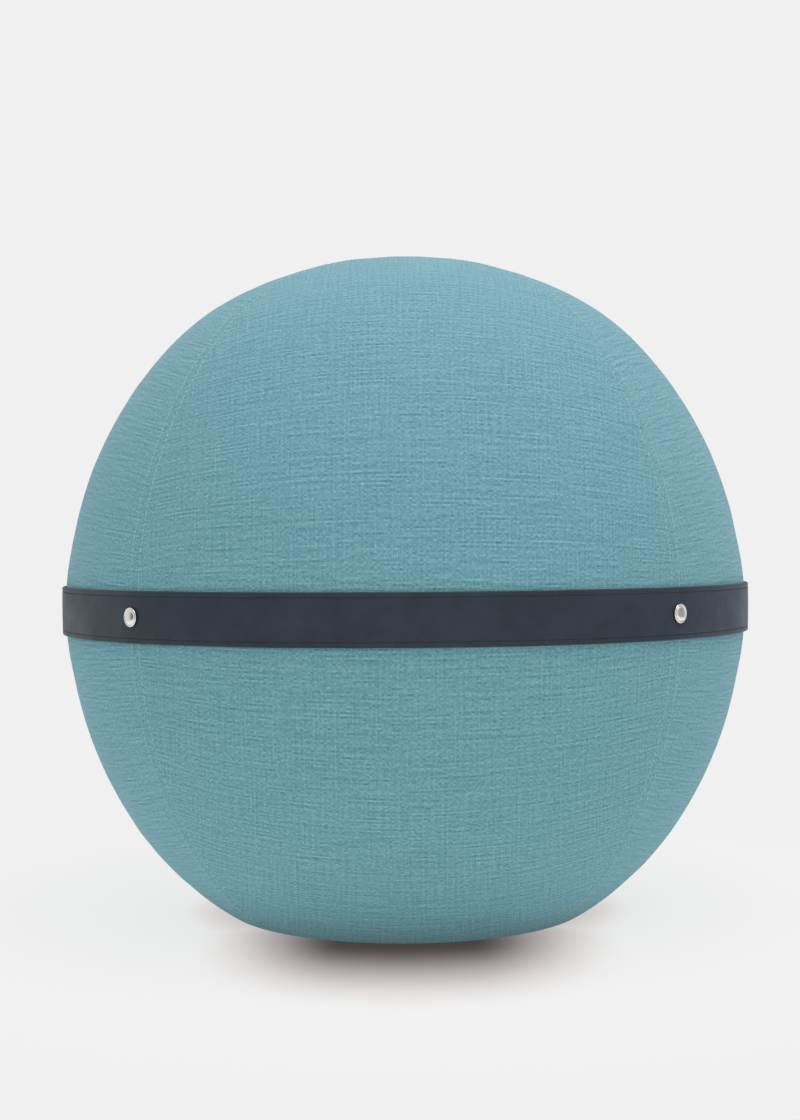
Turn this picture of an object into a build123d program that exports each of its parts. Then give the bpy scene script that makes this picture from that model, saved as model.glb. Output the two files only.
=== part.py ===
from build123d import *
import os
from math import cos, degrees, hypot, radians, sin, sqrt

# Sitting ball, in millimetres: an air-filled ball in a padded woven cover of four panels, with a belt
# snapped on round its middle, a weighted felt foot and a zip down the rear left seam.
# The origin is the middle of the foot on the floor, +Z is up and the front faces -Y.

# Cover: its outline is six tangent arcs from the top down to the floor, called crown, shoulder, flank,
# skirt, heel and edge; the angles are where one turns into the next, in degrees from level
EQUATOR_RADIUS = 275.8
EQUATOR_HEIGHT = 250.0
CROWN_RISE = 285.2
SHOULDER_RADIUS = 197.0
SHOULDER_START = 42.7
SHOULDER_END = 63.1
HEEL_START = 33.7
HEEL_END = 59.3
EDGE_RADIUS = 12.0
FOOT_RADIUS = 141.0
COVER_THICKNESS = 4.0
PANEL_START = {"front": 225, "right": 315, "back": 45, "left": 135}
PANEL_ANGLE = 90

# Gaps: between layers of one body, round seated pieces and beside moving pieces
LAYER_GAP = 0.1
SEAT_GAP = 0.3
RUN_GAP = 0.3

# Air ball and its valve
BALL_WALL = 1.2
VALVE_RADIUS = 11.0
VALVE_FLANGE_RADIUS = 16.0
VALVE_FLANGE = 1.5
VALVE_NECK_RADIUS = 7.5
VALVE_NECK_LENGTH = 14.0
PLUG_RADIUS = 4.5
PLUG_RUN_GAP = 0.05
PLUG_LENGTH = 12.0
PLUG_TIP = 1.5
PLUG_HEAD_RADIUS = 9.0
PLUG_HEAD = 1.6
PLUG_GRIP_WIDTH = 2.6
PLUG_GRIP_HEIGHT = 2.4

# Foot: a felt ring that leaves a port for the valve, and a ballast ring in a sewn pocket
FELT_THICKNESS = 4.0
PORT_RADIUS = 45.0
BALLAST_INNER = 56.0
BALLAST_OUTER = 112.0
BALLAST_THICKNESS = 5.0
POCKET_WALL = 1.0

# Belt: a face strip on a lining strip, with half-lapped ends at the back
BELT_WIDTH = 38.0
BELT_FACE = 1.7
BELT_LINING = 1.2
BELT_CORNER = 0.6
LAP_LENGTH = 40.0
LAP_AZIMUTH = 90.0
LINING_JOIN_AZIMUTH = 70.0
JOIN_SLIT = 0.2

# Snaps: one at each seam, through the belt and the cover
CAP_RADIUS = 7.5
CAP_RIM = 0.7
CAP_DOME = 1.7
CAP_SHANK_RADIUS = 1.5
SOCKET_RADIUS = 5.9
SOCKET_BACK = 0.4
STUD_HEAD_RADIUS = 2.9
STUD_FLANGE_RADIUS = 4.5
STUD_FLANGE = 0.7
STUD_ROOF = 0.6
POST_SHANK_RADIUS = 2.0
POST_FLANGE_RADIUS = 5.0
POST_FLANGE = 0.8

# Zip: its lengths run down the seam, and its widths lie across it
ZIP_AZIMUTH = 135.0
ZIP_BELOW_BELT = 14.0
ZIP_LENGTH = 170.0
ZIP_END_GAP = 1.0
STOP_LENGTH = 2.5
TAPE_WIDTH = 15.0
TAPE_THICKNESS = 0.6
TAPE_TAIL = 8.0
COIL_WIDTH = 2.8
COIL_THICKNESS = 1.3
SLIDER_LENGTH = 14.0
SLIDER_BASE = 0.8
SLIDER_TOP = 1.1
SLIDER_FLANGE = 0.8
SLIDER_NECK_WIDTH = 1.0
SLIDER_NECK_LENGTH = 3.0
SLOT_SIDE_GAP = 1.3

# Zip pull, hanging on a bar under the slider's bail
BAIL_WINDOW = 5.0
BAIL_WALL = 1.0
BAIL_WIDTH = 3.0
PULL_BAR_RADIUS = 0.8
PULL_LENGTH = 28.0
PULL_WIDTH = 8.0
PULL_THICKNESS = 1.4
PULL_LEG_GAP = 0.5
PULL_HOLE_RADIUS = 1.6

# Reach of the tools that cut clear through a wall
CUT_REACH = 3.0


def arc_radii(level, upright, turn_from, turn_to, known, radius):
    """Two radii of three tangent arcs that together span level and upright, in order.

    The arcs turn from upright to level at two angles; known is the place of the one whose radius is given.
    """
    cos_from = cos(radians(turn_from))
    sin_from = sin(radians(turn_from))
    cos_to = cos(radians(turn_to))
    sin_to = sin(radians(turn_to))
    spans = [(1 - cos_from, sin_from), (cos_from - cos_to, sin_to - sin_from), (cos_to, 1 - sin_to)]
    known_level, known_upright = spans.pop(known)
    level_left = level - radius * known_level
    upright_left = upright - radius * known_upright
    (level_a, upright_a), (level_b, upright_b) = spans
    scale = level_a * upright_b - level_b * upright_a
    radius_a = (level_left * upright_b - level_b * upright_left) / scale
    radius_b = (level_a * upright_left - level_left * upright_a) / scale
    return radius_a, radius_b


def step(point, distance, angle):
    """The point at a distance from another, at an angle in degrees above level."""
    return (point[0] + distance * cos(radians(angle)), point[1] + distance * sin(radians(angle)))


FLANK_RADIUS, CROWN_RADIUS = arc_radii(
    EQUATOR_RADIUS, CROWN_RISE, SHOULDER_START, SHOULDER_END, 1, SHOULDER_RADIUS
)
SKIRT_RADIUS, HEEL_RADIUS = arc_radii(
    EQUATOR_RADIUS - FOOT_RADIUS, EQUATOR_HEIGHT, HEEL_START, HEEL_END, 2, EDGE_RADIUS
)
FLANK_CENTRE = (EQUATOR_RADIUS - FLANK_RADIUS, EQUATOR_HEIGHT)
SHOULDER_CENTRE = step(FLANK_CENTRE, FLANK_RADIUS - SHOULDER_RADIUS, SHOULDER_START)
CROWN_CENTRE = (0, EQUATOR_HEIGHT + CROWN_RISE - CROWN_RADIUS)
SKIRT_CENTRE = (EQUATOR_RADIUS - SKIRT_RADIUS, EQUATOR_HEIGHT)
SKIRT_LENGTH = SKIRT_RADIUS * radians(HEEL_START)
HEEL_CENTRE = step(SKIRT_CENTRE, SKIRT_RADIUS - HEEL_RADIUS, -HEEL_START)
EDGE_CENTRE = (FOOT_RADIUS, EDGE_RADIUS)

# Heights of the stack that carries the ball
POCKET_TOP = FELT_THICKNESS + BALLAST_THICKNESS + SEAT_GAP + POCKET_WALL
BALL_SEAT = POCKET_TOP + SEAT_GAP
BALL_INSET = COVER_THICKNESS + SEAT_GAP

# Radii of the belt's layers
LINING_INNER = EQUATOR_RADIUS + SEAT_GAP
LINING_OUTER = LINING_INNER + BELT_LINING
FACE_INNER = LINING_OUTER + LAYER_GAP
FACE_OUTER = FACE_INNER + BELT_FACE

# Distances of the snap's layers from the axis of the ball
POST_INNER = EQUATOR_RADIUS - COVER_THICKNESS + LAYER_GAP
POST_RECESS = POST_INNER + POST_FLANGE + LAYER_GAP
STUD_OUTER = EQUATOR_RADIUS - LAYER_GAP
STUD_INNER = STUD_OUTER - STUD_FLANGE
SOCKET_INNER = EQUATOR_RADIUS + LAYER_GAP
SOCKET_OUTER = sqrt(FACE_INNER**2 - SOCKET_RADIUS**2) - LAYER_GAP
SOCKET_ROOF = SOCKET_OUTER - SOCKET_BACK
STUD_TOP = SOCKET_ROOF - LAYER_GAP
CAP_SEAT = FACE_OUTER + LAYER_GAP

# Distances of the zip's layers from the centre of the skirt's arc
BASE_INNER = SKIRT_RADIUS - BALL_INSET + RUN_GAP
BASE_OUTER = BASE_INNER + SLIDER_BASE
TAPE_INNER = BASE_OUTER + RUN_GAP
TAPE_OUTER = TAPE_INNER + TAPE_THICKNESS
COIL_INNER = TAPE_OUTER + SEAT_GAP
COIL_OUTER = COIL_INNER + COIL_THICKNESS
TOP_INNER = COIL_OUTER + RUN_GAP
TOP_OUTER = TOP_INNER + SLIDER_TOP
STOP_OUTER = TOP_OUTER - LAYER_GAP
PIVOT_RADIUS = TOP_OUTER + RUN_GAP + PULL_BAR_RADIUS
BAIL_INNER = PIVOT_RADIUS + PULL_BAR_RADIUS + RUN_GAP
BAIL_OUTER = BAIL_INNER + BAIL_WALL

# Distances across the zip from its middle
CHAIN_SPLIT = SLIDER_NECK_WIDTH / 2 + RUN_GAP
COIL_EDGE = CHAIN_SPLIT + COIL_WIDTH
FLANGE_EDGE = COIL_EDGE + RUN_GAP
SLIDER_EDGE = FLANGE_EDGE + SLIDER_FLANGE
SLOT_EDGE = SLIDER_EDGE + SLOT_SIDE_GAP
TAPE_EDGE = CHAIN_SPLIT + TAPE_WIDTH

# Lengths along the zip, from the middle of the belt down the seam
SLOT_START = BELT_WIDTH / 2 + ZIP_BELOW_BELT
SLOT_END = SLOT_START + ZIP_LENGTH
TOP_STOP_START = SLOT_START + ZIP_END_GAP
SLIDER_START = TOP_STOP_START + STOP_LENGTH + RUN_GAP
SLIDER_END = SLIDER_START + SLIDER_LENGTH
BOTTOM_STOP_END = SLOT_END - ZIP_END_GAP
BOTTOM_STOP_START = BOTTOM_STOP_END - STOP_LENGTH
PULL_PLACE = (SLIDER_START + SLIDER_END) / 2

ZIP_FRAME = Location(
    Plane(
        origin=(
            SKIRT_CENTRE[0] * cos(radians(ZIP_AZIMUTH)),
            SKIRT_CENTRE[0] * sin(radians(ZIP_AZIMUTH)),
            EQUATOR_HEIGHT,
        ),
        x_dir=(cos(radians(ZIP_AZIMUTH)), sin(radians(ZIP_AZIMUTH)), 0),
        z_dir=(0, 0, 1),
    )
)


def arc(centre, radius, start, end):
    """An arc between two angles, in degrees above level."""
    return CenterArc(centre, radius, start, end - start)


def outline(inset):
    """Edges of the cover's outline from the top down, moved inwards by inset."""
    return [
        arc(CROWN_CENTRE, CROWN_RADIUS - inset, 90, SHOULDER_END),
        arc(SHOULDER_CENTRE, SHOULDER_RADIUS - inset, SHOULDER_END, SHOULDER_START),
        arc(FLANK_CENTRE, FLANK_RADIUS - inset, SHOULDER_START, 0),
        arc(SKIRT_CENTRE, SKIRT_RADIUS - inset, 0, -HEEL_START),
        arc(HEEL_CENTRE, HEEL_RADIUS - inset, -HEEL_START, -HEEL_END),
        arc(EDGE_CENTRE, EDGE_RADIUS - inset, -HEEL_END, -90),
    ]


def turned(edges, sweep=360):
    """A solid turned about the ball's axis from an outline of radius and height."""
    return revolve(Plane.XZ * make_face(edges), axis=Axis.Z, revolution_arc=sweep)


def turned_ring(inner, outer, low, high):
    """A plain ring about the ball's axis."""
    corners = [(inner, low), (outer, low), (outer, high), (inner, high)]
    return turned(Polyline(*corners, close=True).edges())


def turned_level(points):
    """A solid turned about the level X axis from a closed outline of distance and radius."""
    return revolve(make_face(Polyline(*points, close=True).edges()), axis=Axis.X)


def level_disc(start, end, radius):
    """A round bar along the X axis between two distances from the ball's axis."""
    return turned_level([(start, 0), (end, 0), (end, radius), (start, radius)])


def at_seams(piece):
    """Copies of a piece made on the X axis, one on each seam at the belt's height."""
    return [Rot(0, 0, azimuth) * Pos(0, 0, EQUATOR_HEIGHT) * piece for azimuth in PANEL_START.values()]


def skirt_angle(length):
    """Degrees below level on the skirt's arc, for a length down the seam."""
    return degrees(length / SKIRT_RADIUS)


def heel_angle(length):
    """Degrees below level on the heel's arc, for a length down the seam."""
    return HEEL_START + degrees((length - SKIRT_LENGTH) / HEEL_RADIUS)


def arc_strip(inner, outer, side_a, side_b, start, end):
    """A strip turned about the level Y axis, between two radii, two sides and two angles below level."""
    corners = [(inner, side_a), (outer, side_a), (outer, side_b), (inner, side_b)]
    section = make_face(Polyline(*corners, close=True).edges())
    return Rot(0, start, 0) * revolve(section, axis=Axis.Y, revolution_arc=end - start)


def band(inner, outer, side_a, side_b, start, end):
    """A strip of the zip between two radii, two sides and two lengths down the seam.

    It follows the skirt's arc and, below that, the heel's; the radii are given on the skirt's arc.
    """
    if end <= SKIRT_LENGTH:
        return arc_strip(inner, outer, side_a, side_b, skirt_angle(start), skirt_angle(end))
    shift = SKIRT_RADIUS - HEEL_RADIUS
    heel_centre = Pos(HEEL_CENTRE[0] - SKIRT_CENTRE[0], 0, HEEL_CENTRE[1] - SKIRT_CENTRE[1])
    heel_start = max(start, SKIRT_LENGTH)
    strip = heel_centre * arc_strip(
        inner - shift, outer - shift, side_a, side_b, heel_angle(heel_start), heel_angle(end)
    )
    if start < SKIRT_LENGTH:
        strip = strip + arc_strip(inner, outer, side_a, side_b, skirt_angle(start), HEEL_START)
    return strip


def make_filled(inset, floor):
    """The whole inside of the cover's outline, moved inwards by inset and cut level at floor."""
    edges = outline(inset)
    foot = edges[-1] @ 1
    closing = Polyline(foot, (0, foot.Y), edges[0] @ 0)
    below = Cylinder(EQUATOR_RADIUS, floor, align=(Align.CENTER, Align.CENTER, Align.MIN))
    return turned([*edges, *closing.edges()]) - below


def make_inner_ball():
    """The hollow air ball, flat where it sits on the foot, with a hole for the valve."""
    outside = make_filled(BALL_INSET, BALL_SEAT)
    inside = make_filled(BALL_INSET + BALL_WALL, BALL_SEAT + BALL_WALL)
    hole = Pos(0, 0, BALL_SEAT) * Cylinder(VALVE_RADIUS + LAYER_GAP, 2 * CUT_REACH)
    return outside - inside - hole


def make_valve_seat():
    """The rubber valve in the ball's floor: a flange inside the wall and a neck for the plug."""
    flange_low = BALL_SEAT + BALL_WALL
    flange_high = flange_low + VALVE_FLANGE
    body = turned_ring(PLUG_RADIUS, VALVE_RADIUS, BALL_SEAT, flange_high)
    flange = turned_ring(PLUG_RADIUS, VALVE_FLANGE_RADIUS, flange_low, flange_high)
    neck = turned_ring(PLUG_RADIUS, VALVE_NECK_RADIUS, BALL_SEAT, flange_high + VALVE_NECK_LENGTH)
    return body + flange + neck


def make_valve_plug():
    """The plug that is pulled down out of the valve: a tapered stem, a round head and a grip."""
    stem = PLUG_RADIUS - PLUG_RUN_GAP
    head_top = BALL_SEAT - LAYER_GAP
    head_low = head_top - PLUG_HEAD
    stem_top = head_top + PLUG_LENGTH
    points = [
        (0, head_low),
        (PLUG_HEAD_RADIUS, head_low),
        (PLUG_HEAD_RADIUS, head_top),
        (stem, head_top),
        (stem, stem_top - PLUG_TIP),
        (stem - PLUG_TIP, stem_top),
        (0, stem_top),
    ]
    plug = turned(Polyline(*points, close=True).edges())
    grip = Box(
        2 * (PLUG_HEAD_RADIUS - PLUG_GRIP_WIDTH),
        PLUG_GRIP_WIDTH,
        PLUG_GRIP_HEIGHT,
        align=(Align.CENTER, Align.CENTER, Align.MAX),
    )
    return plug + Pos(0, 0, head_low) * grip


def snap_cutter():
    """What a snap takes out of the cover: its shank hole, post recess and stud pocket."""
    hole = level_disc(POST_INNER - CUT_REACH, STUD_OUTER + CUT_REACH, POST_SHANK_RADIUS + SEAT_GAP)
    recess = level_disc(POST_INNER - CUT_REACH, POST_RECESS, POST_FLANGE_RADIUS + SEAT_GAP)
    pocket = level_disc(
        STUD_INNER - LAYER_GAP, STUD_OUTER + CUT_REACH, STUD_FLANGE_RADIUS + SEAT_GAP
    )
    return hole + recess + pocket


def zip_cutter():
    """What the zip takes out of the cover: an open slot, and a rebate for the tapes behind it."""
    back = SKIRT_RADIUS - COVER_THICKNESS - CUT_REACH
    slot = band(back, SKIRT_RADIUS + CUT_REACH, -SLOT_EDGE, SLOT_EDGE, SLOT_START, SLOT_END)
    rebate_edge = TAPE_EDGE + SEAT_GAP
    tail = TAPE_TAIL + SEAT_GAP
    rebate = band(
        back, TAPE_OUTER + LAYER_GAP, -rebate_edge, rebate_edge, SLOT_START - tail, SLOT_END + tail
    )
    return ZIP_FRAME * (slot + rebate)


def make_panels():
    """The cover's four panels, meeting at the top and at the seams."""
    outer = outline(0)
    inner = outline(COVER_THICKNESS)
    top = Line(outer[0] @ 0, inner[0] @ 0)
    hem = Line(outer[-1] @ 1, inner[-1] @ 1)
    blank = turned([*outer, *inner, top, hem], PANEL_ANGLE)
    snaps = at_seams(snap_cutter())
    zip_cut = zip_cutter()
    panels = {}
    for side, start in PANEL_START.items():
        panel = Rot(0, 0, start) * blank
        for snap in snaps:
            panel = panel - snap
        if ZIP_AZIMUTH in (start, start + PANEL_ANGLE):
            panel = panel - zip_cut
        panels[f"cover_panel_{side}"] = panel
    return panels


def make_felt_ring():
    """The felt ring that stands on the floor."""
    return turned_ring(PORT_RADIUS, FOOT_RADIUS - SEAT_GAP, 0, FELT_THICKNESS)


def make_ballast_ring():
    """The steel ring that keeps the ball upright."""
    top = FELT_THICKNESS + BALLAST_THICKNESS
    return turned_ring(BALLAST_INNER, BALLAST_OUTER, FELT_THICKNESS, top)


def make_ballast_pocket():
    """The fabric channel sewn on the felt over the ballast ring."""
    space_inner = BALLAST_INNER - SEAT_GAP
    space_outer = BALLAST_OUTER + SEAT_GAP
    outside = turned_ring(
        space_inner - POCKET_WALL, space_outer + POCKET_WALL, FELT_THICKNESS, POCKET_TOP
    )
    return outside - turned_ring(space_inner, space_outer, 0, POCKET_TOP - POCKET_WALL)


def belt_slot(inner, outer, azimuth):
    """A thin upright cut through a belt strip."""
    cut = Box(
        outer - inner, JOIN_SLIT, BELT_WIDTH + CUT_REACH, align=(Align.MIN, Align.CENTER, Align.CENTER)
    )
    return Rot(0, 0, azimuth) * Pos(inner, 0, EQUATOR_HEIGHT) * cut


def make_belt_face():
    """The belt's face strip, whose thinned ends lap at the back."""
    width = FACE_OUTER - FACE_INNER
    section = Pos((FACE_INNER + FACE_OUTER) / 2, EQUATOR_HEIGHT) * RectangleRounded(
        width, BELT_WIDTH, BELT_CORNER
    )
    ring = revolve(Plane.XZ * section, axis=Axis.Z)
    middle = (FACE_INNER + FACE_OUTER) / 2
    lap = degrees(LAP_LENGTH / middle)
    low = EQUATOR_HEIGHT - BELT_WIDTH / 2 - CUT_REACH
    high = EQUATOR_HEIGHT + BELT_WIDTH / 2 + CUT_REACH
    corners = [
        (middle - JOIN_SLIT / 2, low),
        (middle + JOIN_SLIT / 2, low),
        (middle + JOIN_SLIT / 2, high),
        (middle - JOIN_SLIT / 2, high),
    ]
    slit = Rot(0, 0, LAP_AZIMUTH - lap / 2) * turned(Polyline(*corners, close=True).edges(), lap)
    inner_cut = belt_slot(FACE_INNER - CUT_REACH, middle, LAP_AZIMUTH - lap / 2)
    outer_cut = belt_slot(middle, FACE_OUTER + CUT_REACH, LAP_AZIMUTH + lap / 2)
    face = ring - slit - inner_cut - outer_cut
    hole = level_disc(FACE_INNER - CUT_REACH, FACE_OUTER + CUT_REACH, CAP_SHANK_RADIUS + SEAT_GAP)
    for cut in at_seams(hole):
        face = face - cut
    return face


def make_belt_lining():
    """The belt's lining strip, with a round hole for each snap's socket."""
    low = EQUATOR_HEIGHT - BELT_WIDTH / 2
    lining = turned_ring(LINING_INNER, LINING_OUTER, low, low + BELT_WIDTH)
    lining = lining - belt_slot(LINING_INNER - CUT_REACH, LINING_OUTER + CUT_REACH, LINING_JOIN_AZIMUTH)
    hole = level_disc(LINING_INNER - CUT_REACH, LINING_OUTER + CUT_REACH, SOCKET_RADIUS + SEAT_GAP)
    for cut in at_seams(hole):
        lining = lining - cut
    return lining


def make_snap_cap():
    """The domed cap on the belt's face, with a shank through to the socket."""
    rim = CAP_SEAT + CAP_RIM
    crown = (rim + CAP_DOME, 0)
    curve = (CAP_RADIUS**2 + CAP_DOME**2) / (2 * CAP_DOME)
    half_way = (rim + CAP_DOME - curve + sqrt(curve**2 - (CAP_RADIUS / 2) ** 2), CAP_RADIUS / 2)
    dome = ThreePointArc((rim, CAP_RADIUS), half_way, crown)
    sides = Polyline((CAP_SEAT, 0), (CAP_SEAT, CAP_RADIUS), (rim, CAP_RADIUS))
    cap = revolve(make_face([*sides.edges(), dome, Line(crown, (CAP_SEAT, 0))]), axis=Axis.X)
    return cap + level_disc(SOCKET_ROOF + LAYER_GAP, CAP_SEAT, CAP_SHANK_RADIUS)


def make_snap_socket():
    """The spring socket in the lining, which clips over the stud."""
    bore = STUD_HEAD_RADIUS + SEAT_GAP
    eye = CAP_SHANK_RADIUS + SEAT_GAP
    points = [
        (SOCKET_INNER, bore),
        (SOCKET_INNER, SOCKET_RADIUS),
        (SOCKET_OUTER, SOCKET_RADIUS),
        (SOCKET_OUTER, eye),
        (SOCKET_ROOF, eye),
        (SOCKET_ROOF, bore),
    ]
    return turned_level(points)


def make_snap_stud():
    """The stud on the cover: a flange, and a hollow head that the socket clips over."""
    bore = POST_SHANK_RADIUS + LAYER_GAP
    points = [
        (STUD_INNER, bore),
        (STUD_INNER, STUD_FLANGE_RADIUS),
        (STUD_OUTER, STUD_FLANGE_RADIUS),
        (STUD_OUTER, STUD_HEAD_RADIUS),
        (STUD_TOP, STUD_HEAD_RADIUS),
        (STUD_TOP, 0),
        (STUD_TOP - STUD_ROOF, 0),
        (STUD_TOP - STUD_ROOF, bore),
    ]
    return turned_level(points)


def make_snap_post():
    """The post inside the cover, whose shank holds the stud."""
    flange = level_disc(POST_INNER, POST_INNER + POST_FLANGE, POST_FLANGE_RADIUS)
    return flange + level_disc(POST_INNER, STUD_TOP - STUD_ROOF - LAYER_GAP, POST_SHANK_RADIUS)


def make_zip_side(side):
    """The tape and the coil on one side of the zip; side is 1 or -1."""
    tape = band(
        TAPE_INNER,
        TAPE_OUTER,
        side * CHAIN_SPLIT,
        side * TAPE_EDGE,
        SLOT_START - TAPE_TAIL,
        SLOT_END + TAPE_TAIL,
    )
    coil = band(
        COIL_INNER,
        COIL_OUTER,
        side * CHAIN_SPLIT,
        side * COIL_EDGE,
        SLIDER_START,
        BOTTOM_STOP_START - LAYER_GAP,
    )
    return ZIP_FRAME * tape, ZIP_FRAME * coil


def make_top_stops():
    """A stop on each tape, above the closed slider."""
    return [
        ZIP_FRAME
        * band(
            COIL_INNER,
            STOP_OUTER,
            side * CHAIN_SPLIT,
            side * SLIDER_EDGE,
            TOP_STOP_START,
            TOP_STOP_START + STOP_LENGTH,
        )
        for side in (1, -1)
    ]


def make_bottom_stop():
    """The stop across both tapes at the lower end."""
    return ZIP_FRAME * band(
        COIL_INNER, STOP_OUTER, -SLIDER_EDGE, SLIDER_EDGE, BOTTOM_STOP_START, BOTTOM_STOP_END
    )


def make_slider():
    """The slider: two plates on a neck between the coils, side flanges, and a bail for the pull."""
    top = band(TOP_INNER, TOP_OUTER, -SLIDER_EDGE, SLIDER_EDGE, SLIDER_START, SLIDER_END)
    base = band(BASE_INNER, BASE_OUTER, -SLIDER_EDGE, SLIDER_EDGE, SLIDER_START, SLIDER_END)
    half_neck = SLIDER_NECK_WIDTH / 2
    neck_end = SLIDER_START + SLIDER_NECK_LENGTH
    slider = top + base + band(BASE_INNER, TOP_OUTER, -half_neck, half_neck, SLIDER_START, neck_end)
    for side in (1, -1):
        slider = slider + band(
            TAPE_OUTER + RUN_GAP, TOP_OUTER, side * FLANGE_EDGE, side * SLIDER_EDGE, SLIDER_START, SLIDER_END
        )
    half_bail = BAIL_WIDTH / 2
    foot_reach = BAIL_WINDOW / 2 + BAIL_WALL
    arch = band(
        TOP_INNER, BAIL_OUTER, -half_bail, half_bail, PULL_PLACE - foot_reach, PULL_PLACE + foot_reach
    )
    window = band(
        TOP_OUTER,
        BAIL_INNER,
        -half_bail - CUT_REACH,
        half_bail + CUT_REACH,
        PULL_PLACE - BAIL_WINDOW / 2,
        PULL_PLACE + BAIL_WINDOW / 2,
    )
    return ZIP_FRAME * (slider + (arch - window))


def make_pull():
    """The pull tag, hanging straight down from its bar under the bail."""
    angle = radians(skirt_angle(PULL_PLACE))
    pivot = (PIVOT_RADIUS * cos(angle), 0, -PIVOT_RADIUS * sin(angle))
    half_width = PULL_WIDTH / 2
    straight = PULL_LENGTH - half_width
    bail_reach = hypot(BAIL_WINDOW / 2 + BAIL_WALL, BAIL_OUTER - PIVOT_RADIUS)
    eye_length = bail_reach + RUN_GAP
    eye_width = BAIL_WIDTH + 2 * PULL_LEG_GAP
    hang = (Align.CENTER, Align.MAX)
    tag = Rectangle(PULL_WIDTH, straight, align=hang) + Pos(0, -straight) * Circle(half_width)
    tag = tag - Rectangle(eye_width, eye_length, align=hang)
    tag = tag - Pos(0, -straight) * Circle(PULL_HOLE_RADIUS)
    plate = extrude(tag, amount=PULL_THICKNESS / 2, both=True)
    bar = Rot(0, 90, 0) * Cylinder(PULL_BAR_RADIUS, PULL_WIDTH)
    upright = Location(Plane(origin=pivot, x_dir=(0, 1, 0), z_dir=(1, 0, 0)))
    return ZIP_FRAME * (upright * (plate + bar))


def main():
    """Make every piece and write one file for each."""
    tape_left, coil_left = make_zip_side(1)
    tape_right, coil_right = make_zip_side(-1)
    pieces = {
        "inner_ball": make_inner_ball(),
        "valve_seat": make_valve_seat(),
        "valve_plug": make_valve_plug(),
        **make_panels(),
        "felt_ring": make_felt_ring(),
        "ballast_ring": make_ballast_ring(),
        "ballast_pocket": make_ballast_pocket(),
        "belt_face": make_belt_face(),
        "belt_lining": make_belt_lining(),
        "snap_caps": Compound(at_seams(make_snap_cap())),
        "snap_sockets": Compound(at_seams(make_snap_socket())),
        "snap_studs": Compound(at_seams(make_snap_stud())),
        "snap_posts": Compound(at_seams(make_snap_post())),
        "zip_tape_left": tape_left,
        "zip_tape_right": tape_right,
        "zip_coil_left": coil_left,
        "zip_coil_right": coil_right,
        "zip_top_stops": Compound(make_top_stops()),
        "zip_bottom_stop": make_bottom_stop(),
        "zip_slider": make_slider(),
        "zip_pull": make_pull(),
    }
    os.makedirs("parts", exist_ok=True)
    for name, piece in pieces.items():
        export_step(piece, f"parts/{name}.step")


if __name__ == "__main__":
    main()
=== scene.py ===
import math

import bmesh
import bpy
import numpy as np
from bpy.props import FloatProperty, FloatVectorProperty, PointerProperty
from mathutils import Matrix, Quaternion, Vector
from mathutils.bvhtree import BVHTree


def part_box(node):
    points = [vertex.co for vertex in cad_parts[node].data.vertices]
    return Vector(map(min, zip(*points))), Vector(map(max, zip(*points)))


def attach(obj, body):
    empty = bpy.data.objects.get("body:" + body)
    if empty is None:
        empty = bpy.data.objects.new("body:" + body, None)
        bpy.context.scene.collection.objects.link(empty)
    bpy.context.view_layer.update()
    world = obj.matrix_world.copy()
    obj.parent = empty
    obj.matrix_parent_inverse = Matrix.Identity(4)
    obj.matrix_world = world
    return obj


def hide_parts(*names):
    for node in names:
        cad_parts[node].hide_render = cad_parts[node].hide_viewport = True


bl_info = {
    "name": "Sitting ball",
    "version": (1, 0, 0),
    "blender": (4, 5, 0),
    "location": "3D View > Sidebar > Sitting ball",
    "description": "Dresses the frame of a sitting ball: woven cover, belt, snaps, zip, foot and stage",
    "category": "Object",
}

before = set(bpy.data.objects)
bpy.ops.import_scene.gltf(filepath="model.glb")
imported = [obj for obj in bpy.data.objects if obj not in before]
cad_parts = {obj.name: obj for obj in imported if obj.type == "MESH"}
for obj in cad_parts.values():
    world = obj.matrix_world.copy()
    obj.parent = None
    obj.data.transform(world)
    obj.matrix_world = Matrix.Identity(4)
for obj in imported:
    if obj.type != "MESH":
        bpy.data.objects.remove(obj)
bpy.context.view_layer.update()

MM = 0.001
BODY = "seat"

# Outline of the cover: the six tangent arcs of the CAD solids, in metres and degrees from level
EQUATOR_RADIUS = 275.8 * MM
EQUATOR_HEIGHT = 250 * MM
CROWN_RISE = 285.2 * MM
SHOULDER_RADIUS = 197 * MM
SHOULDER_START = 42.7
SHOULDER_END = 63.1
HEEL_START = 33.7
HEEL_END = 59.3
EDGE_RADIUS = 12 * MM
FOOT_RADIUS = 141 * MM
COVER_THICKNESS = 4 * MM
PANEL_START = {"front": 225, "right": 315, "back": 45, "left": 135}
PANEL_ANGLE = math.radians(90)

# Layers of the CAD solids that the dressing follows
BALL_INSET = 4.3 * MM
BALL_WALL = 1.2 * MM
VALVE_HOLE = 11.1 * MM
ZIP_AZIMUTH = 135
ZIP_START = 33 * MM
ZIP_END = 203 * MM
ZIP_TAIL = 8 * MM
SLOT_EDGE = 6 * MM
TAPE_EDGE = 15.8 * MM
TAPE_DEPTH = (2.3 * MM, 2.9 * MM)
TAPE_ROOM = (0.6 * MM, 0.2 * MM)
COIL_RUN = (36.8 * MM, 199.4 * MM)
COIL_DEPTH = 1.35 * MM
NECK_REACH = 0.8 * MM
NECK_SHARE = 0.3
BELT_INNER = 277.4 * MM
LINING_DEPTH = (276.1 * MM, 277.3 * MM)
LAP_END_AZIMUTH = 94.1
SNAP_NOTCH = 5.3 * MM
BELT_HALF = 19 * MM
FOOT_PORT = 45 * MM
POCKET_INNER = 54.7 * MM
POCKET_WALL = 1 * MM
POCKET_SKIRT = 2.3 * MM

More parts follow.
